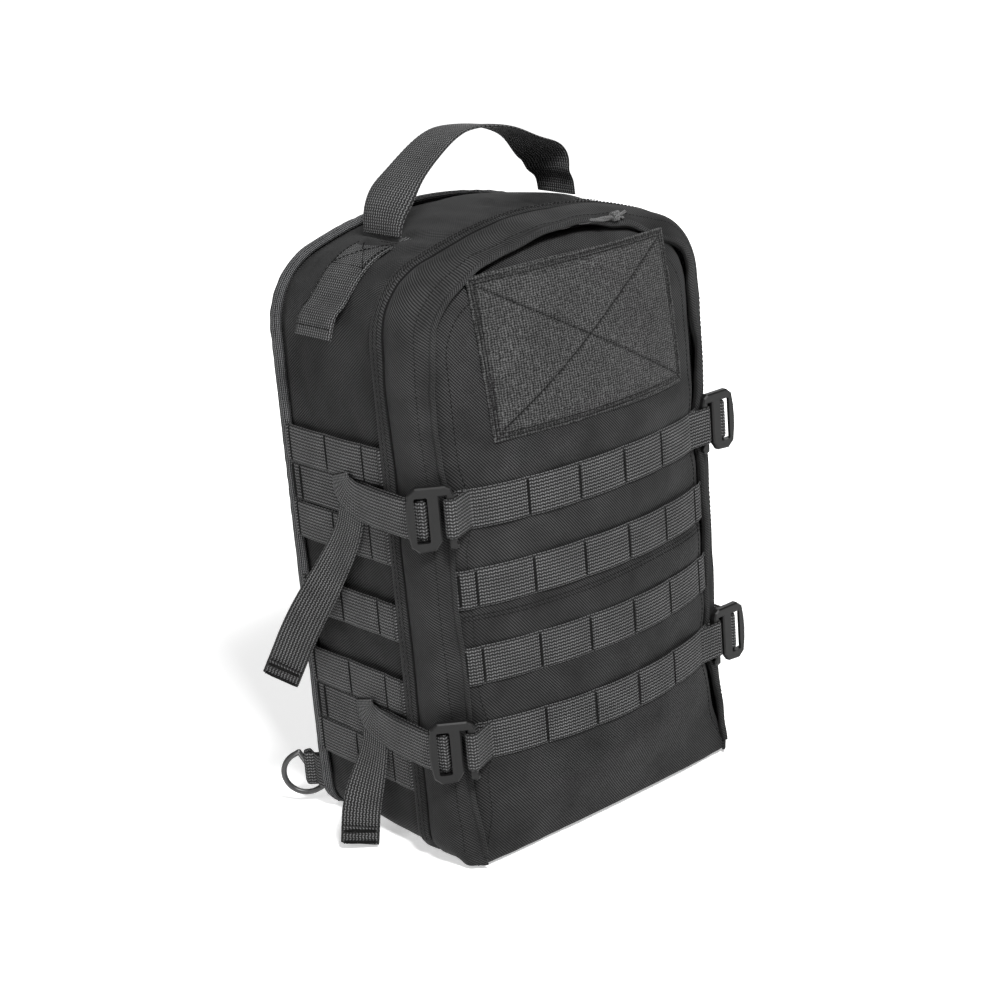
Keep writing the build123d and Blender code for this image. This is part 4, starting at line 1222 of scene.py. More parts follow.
def hook_frame(level, side):
    """Post centre, direction from strap to post, and outward normal, in plan."""
    low, _ = box_mm("hook_%s_%s" % (level, side))
    if side == "left":
        return (np.array([low[0] + 22.4, low[1] + 3.5]), np.array([0.788, -0.616]),
                np.array([-0.616, -0.788]))
    return (np.array([low[0] + 3.4, low[1] + 2.5]), np.array([-1.0, 0.0]),
            np.array([0.0, -1.0]))


def strap_path(level, side, sign):
    """Plan line: forward along the shell, round the hook's bar and back."""
    post, ahead, out = hook_frame(level, side)
    bar = post + ahead * -17.2 + out * -1.4
    if side == "left":
        turn = math.atan2(-out[1], -out[0]) - np.linspace(-0.25, math.pi + 0.35, 9)
    else:
        turn = np.linspace(math.radians(170), math.radians(380), 9)

    def beside(points):
        return [(sign * (SHELL_X + 1.2 + off), y) for off, y in points]

    return np.vstack([beside(STRAP_REAR + STRAP_TO_HOOK[side]), arc(bar, 2.5, turn),
                      beside(STRAP_FROM_HOOK[side] + STRAP_RETURN)])


def build_tail(tag, level, sign, z, base_z):
    """Free end of a strap: it hangs, twists outward and ends in a folded hem."""
    shape = TAILS[level]
    x0 = sign * (SHELL_X + 2.6)
    points = [(x0 + sign * out, y, z - 5 + rise) for out, y, rise in shape["line"]]
    out, y, rise = shape["end"]
    points.append((x0 + sign * out, y, base_z + rise))
    path = spline(points, TAIL_STEP)
    share = np.linspace(0, 1, len(path))[:, None]
    twist = np.radians(shape["twist"]) * smooth_step(0.16, 0.80, share)
    outer = np.array([sign * 1.0, 0, 0])
    across = unit(np.array([0.0, 1.0, 0.12]) * (1 - share) + np.array(shape["across"]) * share)
    across = across * np.cos(twist) + outer * np.sin(twist)
    path = path + outer * 12.9 * np.sin(twist)
    ribbon("strap_tail_" + tag, path, across, 25.2, 1.6, "pack", both_sides=True)
    count = int(HEM / TAIL_STEP)
    normal = path_frame(path, across)[1]
    normal = normal * np.sign(normal[-3, 0] * sign)
    hem = path[-count:] + normal[-count:] * 1.45
    ribbon("strap_hem_" + tag, hem, across[-count:], 25.0, 1.3, "pack")
    bars = Bundle()
    for k in (2, count - 2):
        out = normal[-count + k]
        bars.bartack(hem[k] + out * 0.85, tangents(hem)[k], unit(across[-count + k]), out, 22)
    for y in (66.0, 58.5):
        bars.bartack([sign * (SHELL_X + 1.95), y, z], [0, 1, 0], [0, 0, 1], [sign, 0, 0], 23)
    bars.build("strap_tacks_" + tag, TACK_THREAD, "pack")


def build_straps():
    for level in LEVELS:
        z = HOOK_Z[level]
        for side, sign in SIDES:
            tag = "%s_%s" % (level, side)
            plan = strap_path(level, side, sign)
            heights = np.full(len(plan), z)
            heights[-4:] += RETURN_CLIMB
            low, high = box_mm("strap_end_" + tag)
            base_z = box_mm("strap_base_" + tag)[0][2]
            obj = ribbon("strap_tape_" + tag, spline(np.column_stack([plan, heights]), 1.15),
                         [0, 0, 1], high[2] - low[2], 1.25, None,
                         ("strap_base_" + tag, "strap_end_" + tag), points=16)
            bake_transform(obj)
            build_tail(tag, level, sign, z, base_z)


def build_hook_loops():
    """Short tapes sewn to the panel edge, each looped round a hook's post."""
    for level in LEVELS:
        z = HOOK_Z[level]
        for side, sign in SIDES:
            post = hook_frame(level, side)[0]
            left = side == "left"

            def before_panel(off, gap):
                return sign * off, float(front_y(sign * off, z)) - gap

            turn = np.linspace(-62, -262, 11) if left else np.linspace(-118, 82, 11)
            plan = np.vstack([
                before_panel(91.0, 2.0), before_panel(95.0, 2.3),
                arc(post, 3.75, np.radians(turn)),
                (post[0] - sign * 4.5, post[1] + (4.2 if left else 3.0)),
                before_panel(101.5, 0.7), before_panel(94.5, 0.6)])
            path = spline(np.column_stack([plan, np.full(len(plan), z)]), 0.8)
            first = (level, side) == ("upper", "left")
            ribbon("hook_loop_%s_%s" % (level, side), path, [0, 0, 1], 24.8, 1.15,
                   "front_door", ("hook_loops",) if first else (), points=16)


# ------------------------------------------------------------------ carry handle
def build_handle():
    low, high = box_mm("carry_handle")
    width = high[1] - low[1]
    mid_y = (high[1] + low[1]) / 2
    top = high[2] - 1.3
    base = low[2] - 2.0
    x0, x1 = low[0] + 1.1, high[0] - 1.1
    points = [(x0 - 1.5, base - 4.0), (x0 - 0.2, base + 3.0), (x0 + 4.5, base + 12.5),
              (x0 + 15, base + 25), (x0 + 33, base + 38.5), (x0 + 50, top - 3.4),
              (-9.0, top), (10, top - 1.3), (28, top - 6), (46, top - 15.5),
              (x1 - 10, top - 28), (x1 - 6.0, base + 13), (x1 - 1.0, base + 6),
              (x1 + 0.5, base - 3.0)]
    path = spline([(x, mid_y, z) for x, z in points], 1.5)
    share = np.linspace(0, 1, len(path))
    twist = (-0.38 * np.exp(-((share - 0.84) / 0.08) ** 2)
             + 0.16 * np.exp(-((share - 0.12) / 0.07) ** 2) + 0.05 * np.sin(share * 9))
    depth = np.array([0.0, 1.0, 0.0])
    normal = unit(np.cross(tangents(path), depth))
    across = depth * np.cos(twist)[:, None] + normal * np.sin(twist)[:, None]
    sway = 1.6 * np.sin(share * 6.3) * np.sin(share * math.pi)
    path = path + depth * sway[:, None]
    # the tape cups along its middle near both ends
    cup = (3.0 * np.exp(-((share - 0.10) / 0.07) ** 2)
           + 3.4 * np.exp(-((share - 0.90) / 0.07) ** 2))

    def sag(run, offset):
        here = np.interp(run, np.linspace(0, run.max(), len(cup)), cup)
        return here * (1 - (2 * offset / width) ** 2) - 0.1 * np.cos(offset / 4.4)

    obj = ribbon("handle_tape", path, across, width - 0.6, 2.2, None, ("carry_handle",),
                 sag=sag, both_sides=True)
    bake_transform(obj)
    for side, sign in SIDES:
        build_handle_tab(side, sign, width, mid_y)


def build_handle_tab(side, sign, width, mid_y):
    """Tape sewn over an upper corner of the shell, with a box stitch."""
    low, high = box_mm("handle_tabs")
    corner_x, corner_z = corner(SHELL_X, SHELL_TOP, SHELL_CORNER)
    radius = SHELL_CORNER + 1.9
    slope = math.radians(26)
    end_x = high[0] - 2.2
    points = np.vstack([
        (corner_x - 10.0, corner_z + radius + 3.2), (corner_x - 5.0, corner_z + radius + 2.2),
        arc((corner_x, corner_z), radius, np.radians(np.linspace(86, 38, 12))),
        (corner_x + 1.035 * radius * math.cos(slope), corner_z + 1.05 * radius * math.sin(slope)),
        (end_x - 5.0, low[2] + 19), (end_x + 0.6, low[2] + 6.5)])
    path = spline(at_depth(points * [sign, 1] + [0, 0.4], mid_y), 1.3)
    ribbon("handle_tab_" + side, path, [0, 1, 0], width - 0.4, 1.7, "pack",
           ("handle_tabs",) if sign < 0 else (), points=20,
           sag=lambda run, offset: 0.45 * np.sin(run / 9.0) * np.cos(offset / 8.0))
    across, normal = path_frame(path, [0, 1, 0])
    normal = normal * np.sign((normal[:, 0] * sign + normal[:, 2]).sum())
    run = run_length(path)
    half = width / 2 - 3.5
    start, end, last = 12.0, 41.0, run[-1] - 7
    # each line is (along, across) to (along, across): a box, its diagonals, and a bar
    lines = (((start, -half), (end, -half)), ((end, -half), (end, half)),
             ((end, half), (start, half)), ((start, half), (start, -half)),
             ((start, -half), (end, half)), ((start, half), (end, -half)),
             ((last, -half), (last, half)))
    share = np.linspace(0, 1, 24)
    stitches = Bundle()
    for (along0, across0), (along1, across1) in lines:
        along = along0 * (1 - share) + along1 * share
        offset = across0 * (1 - share) + across1 * share
        i = np.clip(np.searchsorted(run, along), 1, len(run) - 1)
        points = path[i] + across[i] * offset[:, None] + normal[i] * 1.1
        stitches.seam(points, normal[i], pitch=2.9, length=2.2, radius=0.30)
    stitches.build("handle_box_stitch_" + side, TACK_THREAD, "pack")


# ------------------------------------------------------------------ ring tabs
def build_ring_tabs():
    """Tapes folded round the bar of each D ring at the rear edge."""
    for side, sign in SIDES:
        node = "d_ring_tab_" + side
        low, high = box_mm(node)
        start = np.array([[sign * (SHELL_X - 10.5), 76.9], [sign * (SHELL_X - 5.5), 77.6]])
        middle_angle = np.arctan2(0.694, sign * 0.72)
        turn = arc([sign * 124.2, 87.6], 3.5, middle_angle + sign * np.linspace(-1.75, 1.75, 11))
        # the turn begins at whichever end is nearer the tape's start
        if np.linalg.norm(turn[0] - start[1]) > np.linalg.norm(turn[-1] - start[1]):
            turn = turn[::-1]
        end = np.array([sign * (SHELL_X + 1.2), 77.5])
        plan = np.vstack([start, turn, (end + turn[-1]) / 2, end,
                          [sign * (SHELL_X + 0.9), 71.5]])
        heights = np.full(len(plan), (low[2] + high[2]) / 2)
        ribbon("ring_tab_" + side, spline(np.column_stack([plan, heights]), 0.8), [0, 0, 1],
               23.6, 1.5, "pack", (node,))


# ------------------------------------------------------------------ zip and cords
ZIP_LOW = 26.2      # height at which the zip tapes end


def build_coil(name, half_width, top, radius, y, lean, body):
    """Row of zip teeth; lean 1 points them outward, -1 inward."""
    path = resample(at_depth(arch(half_width, top, radius, 26.5), y), 1.9)
    along = tangents(path)
    out = np.stack([-along[:, 2], 0 * along[:, 0], along[:, 0]], 1) * lean
    teeth = Bundle()
    for point, tangent, lean_dir in zip(path, along, out):
        teeth.stitch(point + lean_dir * 0.6, lean_dir + tangent * 0.25, [0, -1, 0], 3.0, 0.55)
    teeth.build(name, COIL, body, "zip_tape")


def build_zip():
    for part, body, width in (("body", "pack", 4.9), ("panel", "front_door", 13.4)):
        node = "zip_tape_" + part
        low, high = box_mm(node)
        half, _, top = high
        y = (low[1] + high[1]) / 2 + 0.2
        path = resample(at_depth(arch(half - width / 2, top - width / 2, 42, ZIP_LOW), y), 2.4)
        along = tangents(path)
        across = np.stack([-along[:, 2], 0 * along[:, 0], along[:, 0]], 1)
        ribbon("zip_%s_tape" % part, path, across, width, 0.75, body, (node,), points=8,
               mat=FINE_WEB, slot="zip_tape")
        if part == "body":
            inset, radius, lean = width - 0.2, 40, -1
        else:
            inset, radius, lean = 0.2, 42, 1
        build_coil("zip_%s_coil" % part, half - inset, top - inset, radius, y - 0.35, lean, body)


def build_cord(side, path, knot, radius, tip, fray):
    """Two twisted strands, a knot, and two loose ends; tip holds offsets from the knot."""
    pieces = Bundle()
    path = spline(path, 0.8)
    knot = np.array(knot)
    tip = knot + np.array(tip)
    phase = np.linspace(0, 9, len(path))
    for sign in (-1, 1):
        strand = path + np.stack([0 * phase, np.cos(phase), np.sin(phase)], 1) * 0.75 * sign
        pieces.add(*tube(strand, 0.85))
    # the knot is a cord wound round itself
    angle = np.linspace(0, 2 * math.pi * 3.2, 90)
    shift = np.linspace(-0.75, 0.75, 90) * radius
    wind = radius * 0.62 * (1 - 0.35 * (shift / radius) ** 2) + 0.25 * np.sin(angle * 2.3)
    coil = np.stack([shift + 0.5 * np.sin(angle), wind * np.cos(angle),
                     wind * np.sin(angle)], 1)
    pieces.add(*tube(knot + coil, 1.05))
    pieces.add(*tube(spline(tip, 0.8), 0.95))
    second = tip + [[0.4, 0.6, -0.6], [0.2, 0.9, -1.8], np.array([-1.0, 1.2, -4.0]) * fray]
    pieces.add(*tube(spline(second, 0.8), 0.85))
    pieces.build("cord_loop_" + side, CORD, "cord_" + side, "cord", ("pull_cord_" + side,))


def build_cords():
    build_cord("right",
               path=[(3, -57.5, 386.8), (6.3, -59.4, 387.0), (9.5, -60.5, 387.1),
                     (16, -66.5, 388.9), (30, -70.8, 388.6), (39, -71.5, 388.2)],
               knot=(42.6, -70.6, 388.4), radius=3.5,
               tip=[(2.0, 0, 0.0), (5, -0.3, 0.6), (8.2, -0.6, 1.6)], fray=1)
    x = middle("zip_slider_left", 0)
    build_cord("left",
               path=[(x, -57.6, 386.9), (x - 10, -58.6, 387.2), (x - 22, -58.4, 386.8),
                     (x - 30, -58.3, 386.3)],
               knot=(x - 32.6, -58.3, 386.1), radius=2.9,
               tip=[(-2, 0, 0), (-5, 0, -0.6), (-8.0, 0.1, -1.4)], fray=0.4)


# ------------------------------------------------------------------ padded pieces
# rings of the flat start shape: (share of the outline, height as a share of thickness)
CUSHION_RINGS = [(1.0, 0.0), (0.985, 0.30), (0.95, 0.42), (0.88, 0.49), (0.76, 0.5),
                 (0.6, 0.5), (0.42, 0.5), (0.24, 0.5), (0.1, 0.5)]
START_THICK = 0.82          # start thickness as a share of the final one
MAX_SWELL = 0.0022          # metres that inflation may move a point
CLOTH = dict(quality=4, use_pressure=True, uniform_pressure_force=3.5, tension_stiffness=40,
             compression_stiffness=40, shear_stiffness=25, bending_stiffness=3.0,
             time_scale=0.6)
CLOTH_FRAMES = 18


def bake(obj):
    """Swap the mesh for its evaluated state and drop the modifiers."""
    depsgraph = bpy.context.evaluated_depsgraph_get()
    data = bpy.data.meshes.new_from_object(obj.evaluated_get(depsgraph))
    obj.modifiers.clear()
    obj.data = data


def inflate(obj):
    cloth = obj.modifiers.new("c", "CLOTH")
    for key, value in CLOTH.items():
        setattr(cloth.settings, key, value)
    cloth.settings.effector_weights.gravity = 0
    cloth.collision_settings.use_collision = False
    scene = bpy.context.scene
    for k in range(1, CLOTH_FRAMES + 1):
        scene.frame_set(k)
    bake(obj)
    scene.frame_set(1)


def cushion_mesh(shape, thick):
    centre = shape.mean(0)
    count = len(shape)
    verts = []
    for sign, rings in ((1, CUSHION_RINGS), (-1, CUSHION_RINGS[1:])):
        for scale, height in rings:
            level = np.full(count, sign * height * thick * START_THICK)
            verts.append(np.column_stack([centre + (shape - centre) * scale, level]))
    index = np.arange(count * len(verts)).reshape(-1, count)
    top = index[:len(CUSHION_RINGS)]
    bottom = np.vstack([index[:1], index[len(CUSHION_RINGS):]])
    faces = grid_faces(len(top), count, True).tolist()
    faces.append(list(top[-1]))
    for ring, after in zip(bottom, bottom[1:]):
        faces += np.stack([ring, after, np.roll(after, -1), np.roll(ring, -1)], 1).tolist()
    faces.append(list(bottom[-1])[::-1])
    return np.vstack(verts), faces


def cushion(name, shape, thick, body, replaces, origin, axes, quilt, voxel=0.006):
    """Pad inflated as cloth, with channels along the quilt lines.

    shape is an outline in the pad's own plane; axes are its x, y and thickness directions.
    """
    obj = add_mesh(name, *cushion_mesh(shape, thick), SPACER)
    fix_normals(obj)
    bpy.context.view_layer.objects.active = obj
    remesh = obj.modifiers.new("r", "REMESH")
    remesh.mode = "VOXEL"
    remesh.voxel_size = voxel
    bake(obj)
    rest = np.array([v.co for v in obj.data.vertices])
    inflate(obj)
    move = np.array([v.co for v in obj.data.vertices]) - rest
    move -= move.mean(0)
    length = np.linalg.norm(move, axis=1, keepdims=True)
    local = (rest + move * np.minimum(1, MAX_SWELL / np.maximum(length, 1e-9))) * 1000
    # stitched channels, pressed in after the remesh
    distance = np.min([segment_distance(local[:, :2], *line) for line in quilt], 0)
    local[:, 2] *= 1 - 0.42 * np.exp(-(distance / 4.5) ** 2)
    local[:, 2] += 0.35 * noise3(local, 14, 77) * np.sign(local[:, 2])
    local[:, 2] = np.clip(local[:, 2], -thick / 2, thick / 2 * 1.25)
    world = origin + sum(local[:, k:k + 1] * np.asarray(axes[k], float) for k in range(3))
    obj.data.vertices.foreach_set("co", (world * 0.001).astype(np.float32).ravel())
    obj.data.materials.clear()
    obj.data.materials.append(SPACER)
    set_co2(obj.data, local)
    obj.data.update()
    subsurf = obj.modifiers.new("s", "SUBSURF")
    subsurf.levels = 1
    subsurf.render_levels = 1
    bake(obj)
    smooth(obj)
    if replaces:
        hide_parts(*replaces)
    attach(obj, body)


def rounded(width, height, radius, taper=0.0):
    """Outline of a rounded rectangle, narrower towards +y by the taper."""
    points = []
    for x, y, start in ((1, 1, 0), (-1, 1, 90), (-1, -1, 180), (1, -1, 270)):
        centre = (x * (width / 2 - radius), y * (height / 2 - radius))
        points.append(arc(centre, radius, np.radians(np.linspace(start, start + 90, 8))))
    points = np.vstack(points)
    line = resample(np.vstack([points, points[:1]]), 5.0)[:-1]
    line[:, 0] *= 1 - taper * (line[:, 1] / height + 0.5)
    return line


# ------------------------------------------------------------------ back pads and harness
PAD_X = 51                  # centre of each back pad
NECK_X = 46.0               # shoulder strap at its top and at the shell's lower corner
FOOT_X = 92.0
STRAP_PAD = 228.0           # length of the padded strap
BACKWARD = np.array([0.0, 1.0, 0.0])


def build_back_pad(side, sign):
    low, high = box_mm("back_pads")
    width, height = (high[0] - low[0]) / 2 - 15.0, high[2] - low[2]
    mid_z = (high[2] + low[2]) / 2
    shape = rounded(width, height, 14)
    quilt = [((-width / 2 + 8, z), (width / 2 - 8, z)) for z in (-height / 4, 0, height / 4)]
    cushion("back_pad_" + side, shape, high[1] - low[1] + 0.6, "pack",
            ("back_pads",) if sign < 0 else (),
            origin=np.array([sign * PAD_X, (high[1] + low[1]) / 2 + 0.3, mid_z]),
            axes=((1, 0, 0), (0, 0, 1), (0, 1, 0)), quilt=quilt)
    path = at_depth(shape * [0.972, 0.99] + [sign * PAD_X, mid_z], BACK_Y + 0.25)
    stitches = Bundle()
    stitches.seam(np.vstack([path, path[:1]]), [0, 1, 0], pitch=3.2, length=2.3, radius=0.28)
    stitches.build("pad_stitches_" + side, THREAD, "pack", "pad_mesh")


def build_shoulder(side, sign):
    """Padded strap with its tape, neck, lower webbing and sternum webbing."""
    harness = "harness_" + side
    top = np.array([sign * NECK_X, 84.0, 372.0])
    down = unit(np.array([sign * FOOT_X, 84.0, 36.0]) - top)
    across = np.cross(BACKWARD, down)
    cushion("shoulder_pad_" + side, rounded(57, STRAP_PAD, 13, taper=0.06), 10.8, harness,
            ("shoulder_strap_" + side,), origin=top + down * 124 + BACKWARD * 9.2,
            axes=(across, -down, BACKWARD), voxel=0.0055,
            quilt=[((0, -STRAP_PAD / 2 + 12), (0, STRAP_PAD / 2 - 12))])
    # webbing sewn down the middle of the pad, dipping at both ends
    run = np.linspace(8, 232, 90)
    lift = (15.5 - 1.2 * np.exp(-((run - 8) / 12) ** 2)
            - 1.0 * np.exp(-((run - 232) / 12) ** 2))
    ribbon("shoulder_tape_" + side, top + down * run[:, None] + BACKWARD * lift[:, None],
           across, 25.0, 1.4, harness)
    bars = Bundle()
    for place in (20, 68, 116, 164, 212):
        bars.bartack(top + down * place + BACKWARD * 16.4, down, across, BACKWARD, 23)
    bars.build("shoulder_tacks_" + side, TACK_THREAD, harness)
    # neck, from the yoke to the pad: (down the strap, backward)
    neck = [top + down * place + BACKWARD * back
            for place, back in ((-3.0, 1.9), (1.5, 3.5), (6.5, 6.6), (12, 9.2))]
    ribbon("neck_tape_" + side, spline(neck, 0.9), across, 37.6, 1.9, harness,
           ("strap_neck_" + side,), points=18)
    # webbing from the ladder lock down to the lower corner
    low, high = box_mm("lower_webbing_" + side)
    upper = np.array([sign * (abs(low[0] + high[0]) / 2 - 6.2), high[1] - 1.2, high[2] - 2.4])
    lower = np.array([sign * FOOT_X, low[1] + 1.2, low[2] + 1.6])
    path = spline([lower, lower * 0.67 + upper * 0.33 + [0, 0.5, 0],
                   lower * 0.33 + upper * 0.67 + [0, 0.3, 0], upper], 1.3)
    ribbon("lower_tape_" + side, path, across, 24.6, 1.5, "tail_" + side,
           ("lower_webbing_" + side,))
    low, high = box_mm("sternum_webbing_" + side)
    x = (low[0] + high[0]) / 2
    path = spline([(x + sign * 1.0, high[1] - 1.3, high[2] - 1.0),
                   (x + sign * 1.0, high[1] - 0.9, high[2] - 16),
                   (x - sign * 2.0, high[1] - 1.0, high[2] - 34),
                   (x - sign * 2.6, high[1] - 1.2, low[2] + 1)], 1.2)
    ribbon("sternum_tape_" + side, path, [1, 0, 0], 19.4, 1.2, harness,
           ("sternum_webbing_" + side,), points=12)


def build_anchors(side, sign):
    """Tapes that hold the strap at the yoke and at the lower corner."""
    low, high = box_mm("strap_anchors_top")
    line = [(0.8 + BACK_Y, low[2] + 0.5), (BACK_Y + 2.4, low[2] + 4),
            (high[1] - 1.2, (low[2] + high[2]) / 2), (BACK_Y + 2.2, high[2] - 4),
            (BACK_Y + 0.8, high[2] - 0.6)]
    ribbon("yoke_tape_" + side, spline([(sign * NECK_X, y, z) for y, z in line], 0.8),
           [1, 0, 0], 39.4, 1.6, "pack", ("strap_anchors_top",) if sign < 0 else (), points=18)
    low, high = box_mm("strap_anchors_low")
    line = [(BACK_Y + 1.0, low[2] + 0.8), (BACK_Y + 2.0, low[2] + 5),
            (high[1] - 1.0, low[2] + 10.0), (high[1] - 1.0, low[2] + 13.4),
            (BACK_Y + 2.4, high[2] - 6), (BACK_Y + 1.0, high[2] - 0.8)]
    ribbon("corner_tape_" + side, spline([(sign * FOOT_X, y, z) for y, z in line], 0.8),
           [1, 0, 0], 27.4, 1.6, "pack", ("strap_anchors_low",) if sign < 0 else ())
    bars = Bundle()
    for z in (369.2, 381.3):
        bars.bartack((sign * NECK_X, BACK_Y + 2.3, z), [0, 0, 1], [1, 0, 0], [0, 1, 0], 36)
    bars.build("anchor_tacks_" + side, TACK_THREAD, "pack")


def build_back_system():
    for side, sign in SIDES:
        build_back_pad(side, sign)
        build_shoulder(side, sign)
    for side, sign in SIDES:
        build_anchors(side, sign)


# ------------------------------------------------------------------ inside
def build_lining():
    low, high = box_mm("back_lining")
    x, z = panel_grid(high[0] - 0.5, high[2] - 0.5, 48, 18, low[2] + 0.4, cols=56, rows=90)
    y = low[1] + 0.1 + 0.35 * layered(flat(x, z), 42, 90, 3)
    add_skin("lining_sheet", np.stack([x, y, z], -1), flat(x, z), 0.9, LINING, "lining",
             "pack", ("back_lining",))


def build_slip_pocket():
    low, high = box_mm("slip_pocket")
    across, up = unit_grid(cols=60, rows=46)
    x = across * (high[0] - 0.6)
    z = low[2] + 0.4 + (high[2] - low[2] - 0.8) * up
    belly = np.clip(1 - np.abs(across) ** 5, 0, 1) * (0.25 + 0.75 * smooth_step(0, 0.75, up))
    y = (high[1] - 0.6
         - (high[1] - low[1] - 2.0) * belly * (0.85 + 0.15 * np.sin(across * 6))
         + 0.5 * layered(flat(x, z), 24, 93, 2))
    y = np.minimum(y, high[1] - 0.2)
    add_skin("slip_pocket_cloth", np.stack([x, y, z], -1), flat(x, z), 1.0, LINING, "lining",
             "pack", ("slip_pocket",))
    ribbon("slip_pocket_binding", np.stack([x[-1], y[-1] - 0.1, z[-1] - 0.5], -1), [0, 0, 1],
           9.0, 2.0, "pack", points=10, mat=FINE_WEB, slot="elastic")


def build_elastic_loops():
    """Two bands, each standing off in five loops."""
    low, high = box_mm("elastic_loops")
    half = high[0] - 0.4
    for i, z in enumerate((high[2] - 19.0, low[2] + 19.0)):
        x = np.linspace(-half, half, 170)
        phase = (x + half) / (2 * half / 5)
        y = high[1] - 0.75 - (high[1] - low[1] - 1.6) * np.abs(np.sin(np.pi * phase)) ** 0.75
        ribbon("elastic_band_%d" % i, np.stack([x, y, 0 * x + z], -1), [0, 0, 1], 37.4, 1.1,
               "pack", ("elastic_loops",) if i == 0 else (), points=16, mat=FINE_WEB,
               slot="elastic")


def build_mesh_pockets():
    """Lower and upper pockets on the inner face of the front panel."""
    low, high = box_mm("mesh_pockets")
    for i, (bottom, top) in enumerate(((low[2], low[2] + 172.0), (high[2] - 138.0, high[2]))):
        across, up = unit_grid(cols=56, rows=44)
        x = across * (high[0] - 0.4)
        z = bottom + 0.3 + (top - bottom - 0.6) * up
        belly = np.clip(1 - np.abs(across) ** 4, 0, 1) * smooth_step(0, 0.5, up)
        y = (low[1] + 1.3
             + (high[1] - low[1] - 1.8) * belly * (0.75 + 0.25 * np.sin(across * 5 + i)))
        add_skin("mesh_pocket_%d" % i, np.stack([x, y, z], -1), flat(x, z), 0.7, SPACER,
                 "mesh", "front_door", ("mesh_pockets",) if i == 0 else (), sign=-1.0)
        ribbon("mesh_binding_%d" % i, np.stack([x[-1], y[-1] + 0.1, z[-1] - 1.5], -1),
               [0, 0, 1], 8.0, 1.6, "front_door", points=8, mat=FINE_WEB, slot="elastic")


def build_base_hem():
    """Lip along the lower front edge."""
    low, high = box_mm("base_lip")
    across, back = unit_grid(cols=90, rows=20)
    x = across * (high[0] - 0.3)
    y = low[1] + 5.0 + (high[1] - low[1] - 5.4) * back + 3.0 * across**6 * (1 - back)
    z = (1.45 - 0.7 * np.exp(-back * 9)
         + 0.18 * np.sin(x / 3.1) * np.exp(-((back - 0.12) / 0.1) ** 2))
    add_skin("base_hem", np.stack([x, y, z], -1), flat(x, y), 1.0, FABRIC, "shell_fabric",
             "pack", ("base_lip",))


# ------------------------------------------------------------------ hard parts from the CAD
def dress(node, mat, width, segments=3):
    """Give a CAD part its material and softened edges; width in metres."""
    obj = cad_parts[node]
    obj.data.materials.clear()
    obj.data.materials.append(mat)
    bevel = obj.modifiers.new("edge", "BEVEL")
    bevel.width = width
    bevel.segments = segments
    bevel.limit_method = "ANGLE"
    bevel.angle_limit = math.radians(30)
    weighted = obj.modifiers.new("n", "WEIGHTED_NORMAL")
    weighted.keep_sharp = False
    smooth(obj)


def dress_hard_parts():
    for level in LEVELS:
        for side, _ in SIDES:
            dress("hook_%s_%s" % (level, side), PLASTIC, width=0.0007)
    for side, _ in SIDES:
        dress("ladder_lock_" + side, PLASTIC, width=0.0004)
        dress("zip_slider_" + side, SLIDER_METAL, width=0.0003, segments=2)
        dress("d_ring_" + side, RING_METAL, width=0.0001, segments=1)
    dress("sternum_buckle_socket", PLASTIC, width=0.0006)
    dress("sternum_buckle_plug", PLASTIC, width=0.0006)
    dress("frame_sheet", STIFF, width=0.0003, segments=2)


build_gusset()
build_back()
build_flap()
build_front()
build_patch()
build_rows()
build_side_webbing()
build_straps()
build_hook_loops()
build_handle()
build_ring_tabs()
build_zip()
build_cords()
build_back_system()
build_lining()
build_slip_pocket()
build_elastic_loops()
build_mesh_pockets()
build_base_hem()
dress_hard_parts()


# ------------------------------------------------------------------ stage (metres)
def floor_paper():
    """White floor whose glow grows with distance from the pack."""
    s = Shader("studio_floor")
    color = s.between(s.noise(s.place(), scale=3.0), 0.90, 0.93)
    s.principled.inputs["Emission Color"].default_value = (1, 1, 1, 1)
    distance = s.node("ShaderNodeVectorMath", operation="LENGTH")
    s.link(s.place(), distance.inputs[0])
    glow = s.node("ShaderNodeMapRange", interpolation_type="SMOOTHSTEP")
    for key, value in (("From Min", 0.30), ("From Max", 1.1), ("To Min", 0.48),
                       ("To Max", 1.0)):
        glow.inputs[key].default_value = value
    s.link(distance.outputs["Value"], glow.inputs["Value"])
    s.link(glow.outputs[0], s.principled.inputs["Emission Strength"])
    return s.done(color, 0.8, spec=0.1)


def build_floor():
    """A disc of 40 m radius, 0.6 mm below the pack."""
    edge = arc((0, 0), 40000, np.linspace(0, 2 * math.pi, 48, endpoint=False))
    verts = np.column_stack([edge, np.full(48, -0.6)])
    add_mesh("floor_sheet", verts, [range(48)], floor_paper())


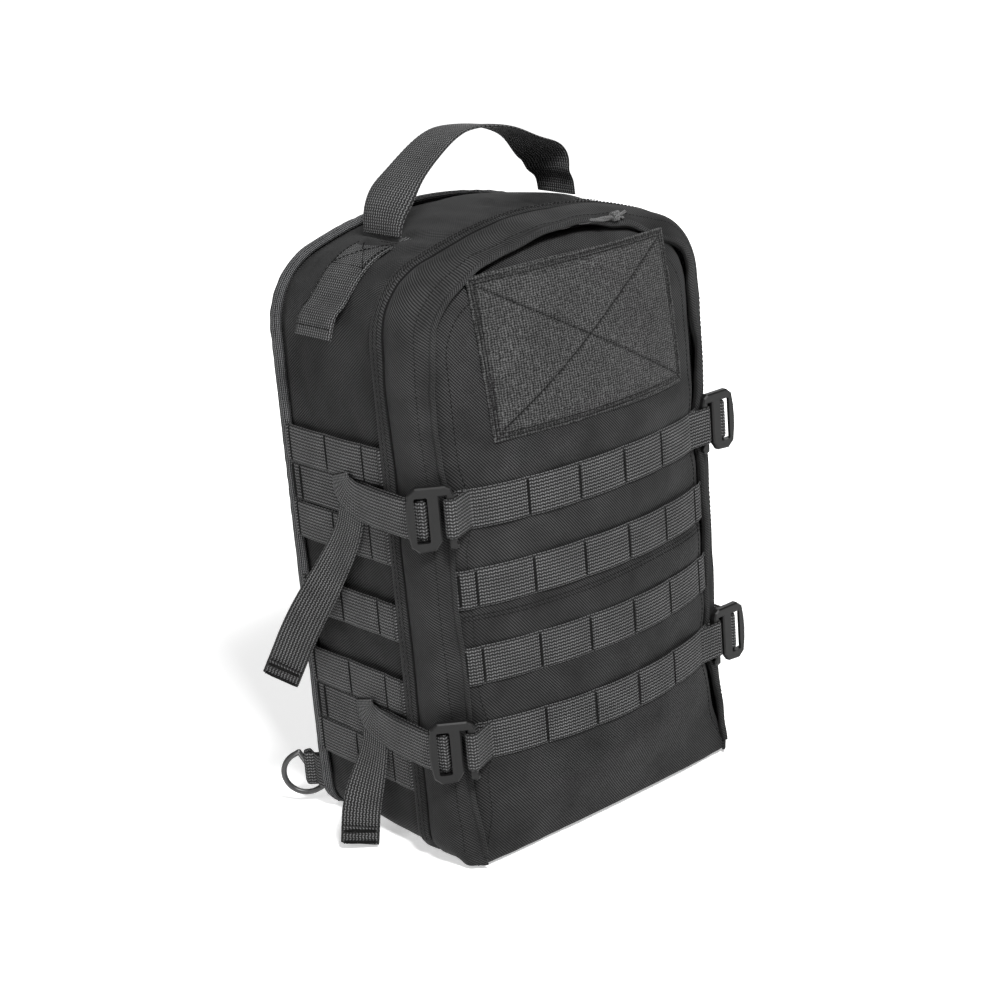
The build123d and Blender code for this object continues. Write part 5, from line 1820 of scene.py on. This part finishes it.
def build_world():
    """White to the camera, dim to everything else."""
    world = bpy.data.worlds.new("studio")
    world.use_nodes = True
    tree = world.node_tree
    background = tree.nodes["Background"]
    background.inputs[0].default_value = (1, 1, 1, 1)
    path = tree.nodes.new("ShaderNodeLightPath")
    strength = tree.nodes.new("ShaderNodeMapRange")
    strength.inputs["To Min"].default_value = 0.10
    strength.inputs["To Max"].default_value = 1.0
    tree.links.new(path.outputs["Is Camera Ray"], strength.inputs["Value"])
    tree.links.new(strength.outputs[0], background.inputs[1])
    bpy.context.scene.world = world
    bpy.context.scene.view_settings.view_transform = "Standard"


def area_light(name, place, size, power):
    """Rectangular light aimed at the middle of the pack."""
    light = bpy.data.lights.new(name, "AREA")
    light.shape = "RECTANGLE"
    light.size, light.size_y = size
    light.energy = power
    obj = bpy.data.objects.new(name, light)
    bpy.context.scene.collection.objects.link(obj)
    obj.location = place
    aim = Vector((0, 0, 0.2)) - Vector(place)
    obj.rotation_euler = aim.to_track_quat("-Z", "Y").to_euler()


def build_camera(turn, climb, roll, distance, target_z):
    """Camera on a sphere round the pack; angles in degrees."""
    turn, climb, roll = map(math.radians, (turn, climb, roll))
    back = np.array([math.sin(turn) * math.cos(climb), -math.cos(turn) * math.cos(climb),
                     math.sin(climb)])
    eye = np.array([0, 0, target_z]) + back * distance
    level = unit(np.cross(-back, [0, 0, 1]))
    upright = np.cross(level, -back)
    right = level * math.cos(roll) + upright * math.sin(roll)
    above = -level * math.sin(roll) + upright * math.cos(roll)
    camera = bpy.data.cameras.new("view")
    camera.sensor_width = 36
    camera.lens = 76.31
    camera.shift_x = -0.00985
    camera.shift_y = -0.03648
    obj = bpy.data.objects.new("view", camera)
    bpy.context.scene.collection.objects.link(obj)
    rows = np.column_stack([right, above, back, eye]).tolist()
    obj.matrix_world = Matrix(rows + [[0, 0, 0, 1]])
    bpy.context.scene.camera = obj


build_floor()
build_world()
area_light("key", place=(-0.42, -1.15, 1.62), size=(0.42, 0.42), power=60)
area_light("fill", place=(-1.5, -0.2, 1.0), size=(0.7, 0.9), power=7)
area_light("rim", place=(1.3, 1.1, 1.5), size=(1.0, 0.8), power=14)
build_camera(turn=-39.82, climb=17.37, roll=-4.71, distance=1.391, target_z=0.225)
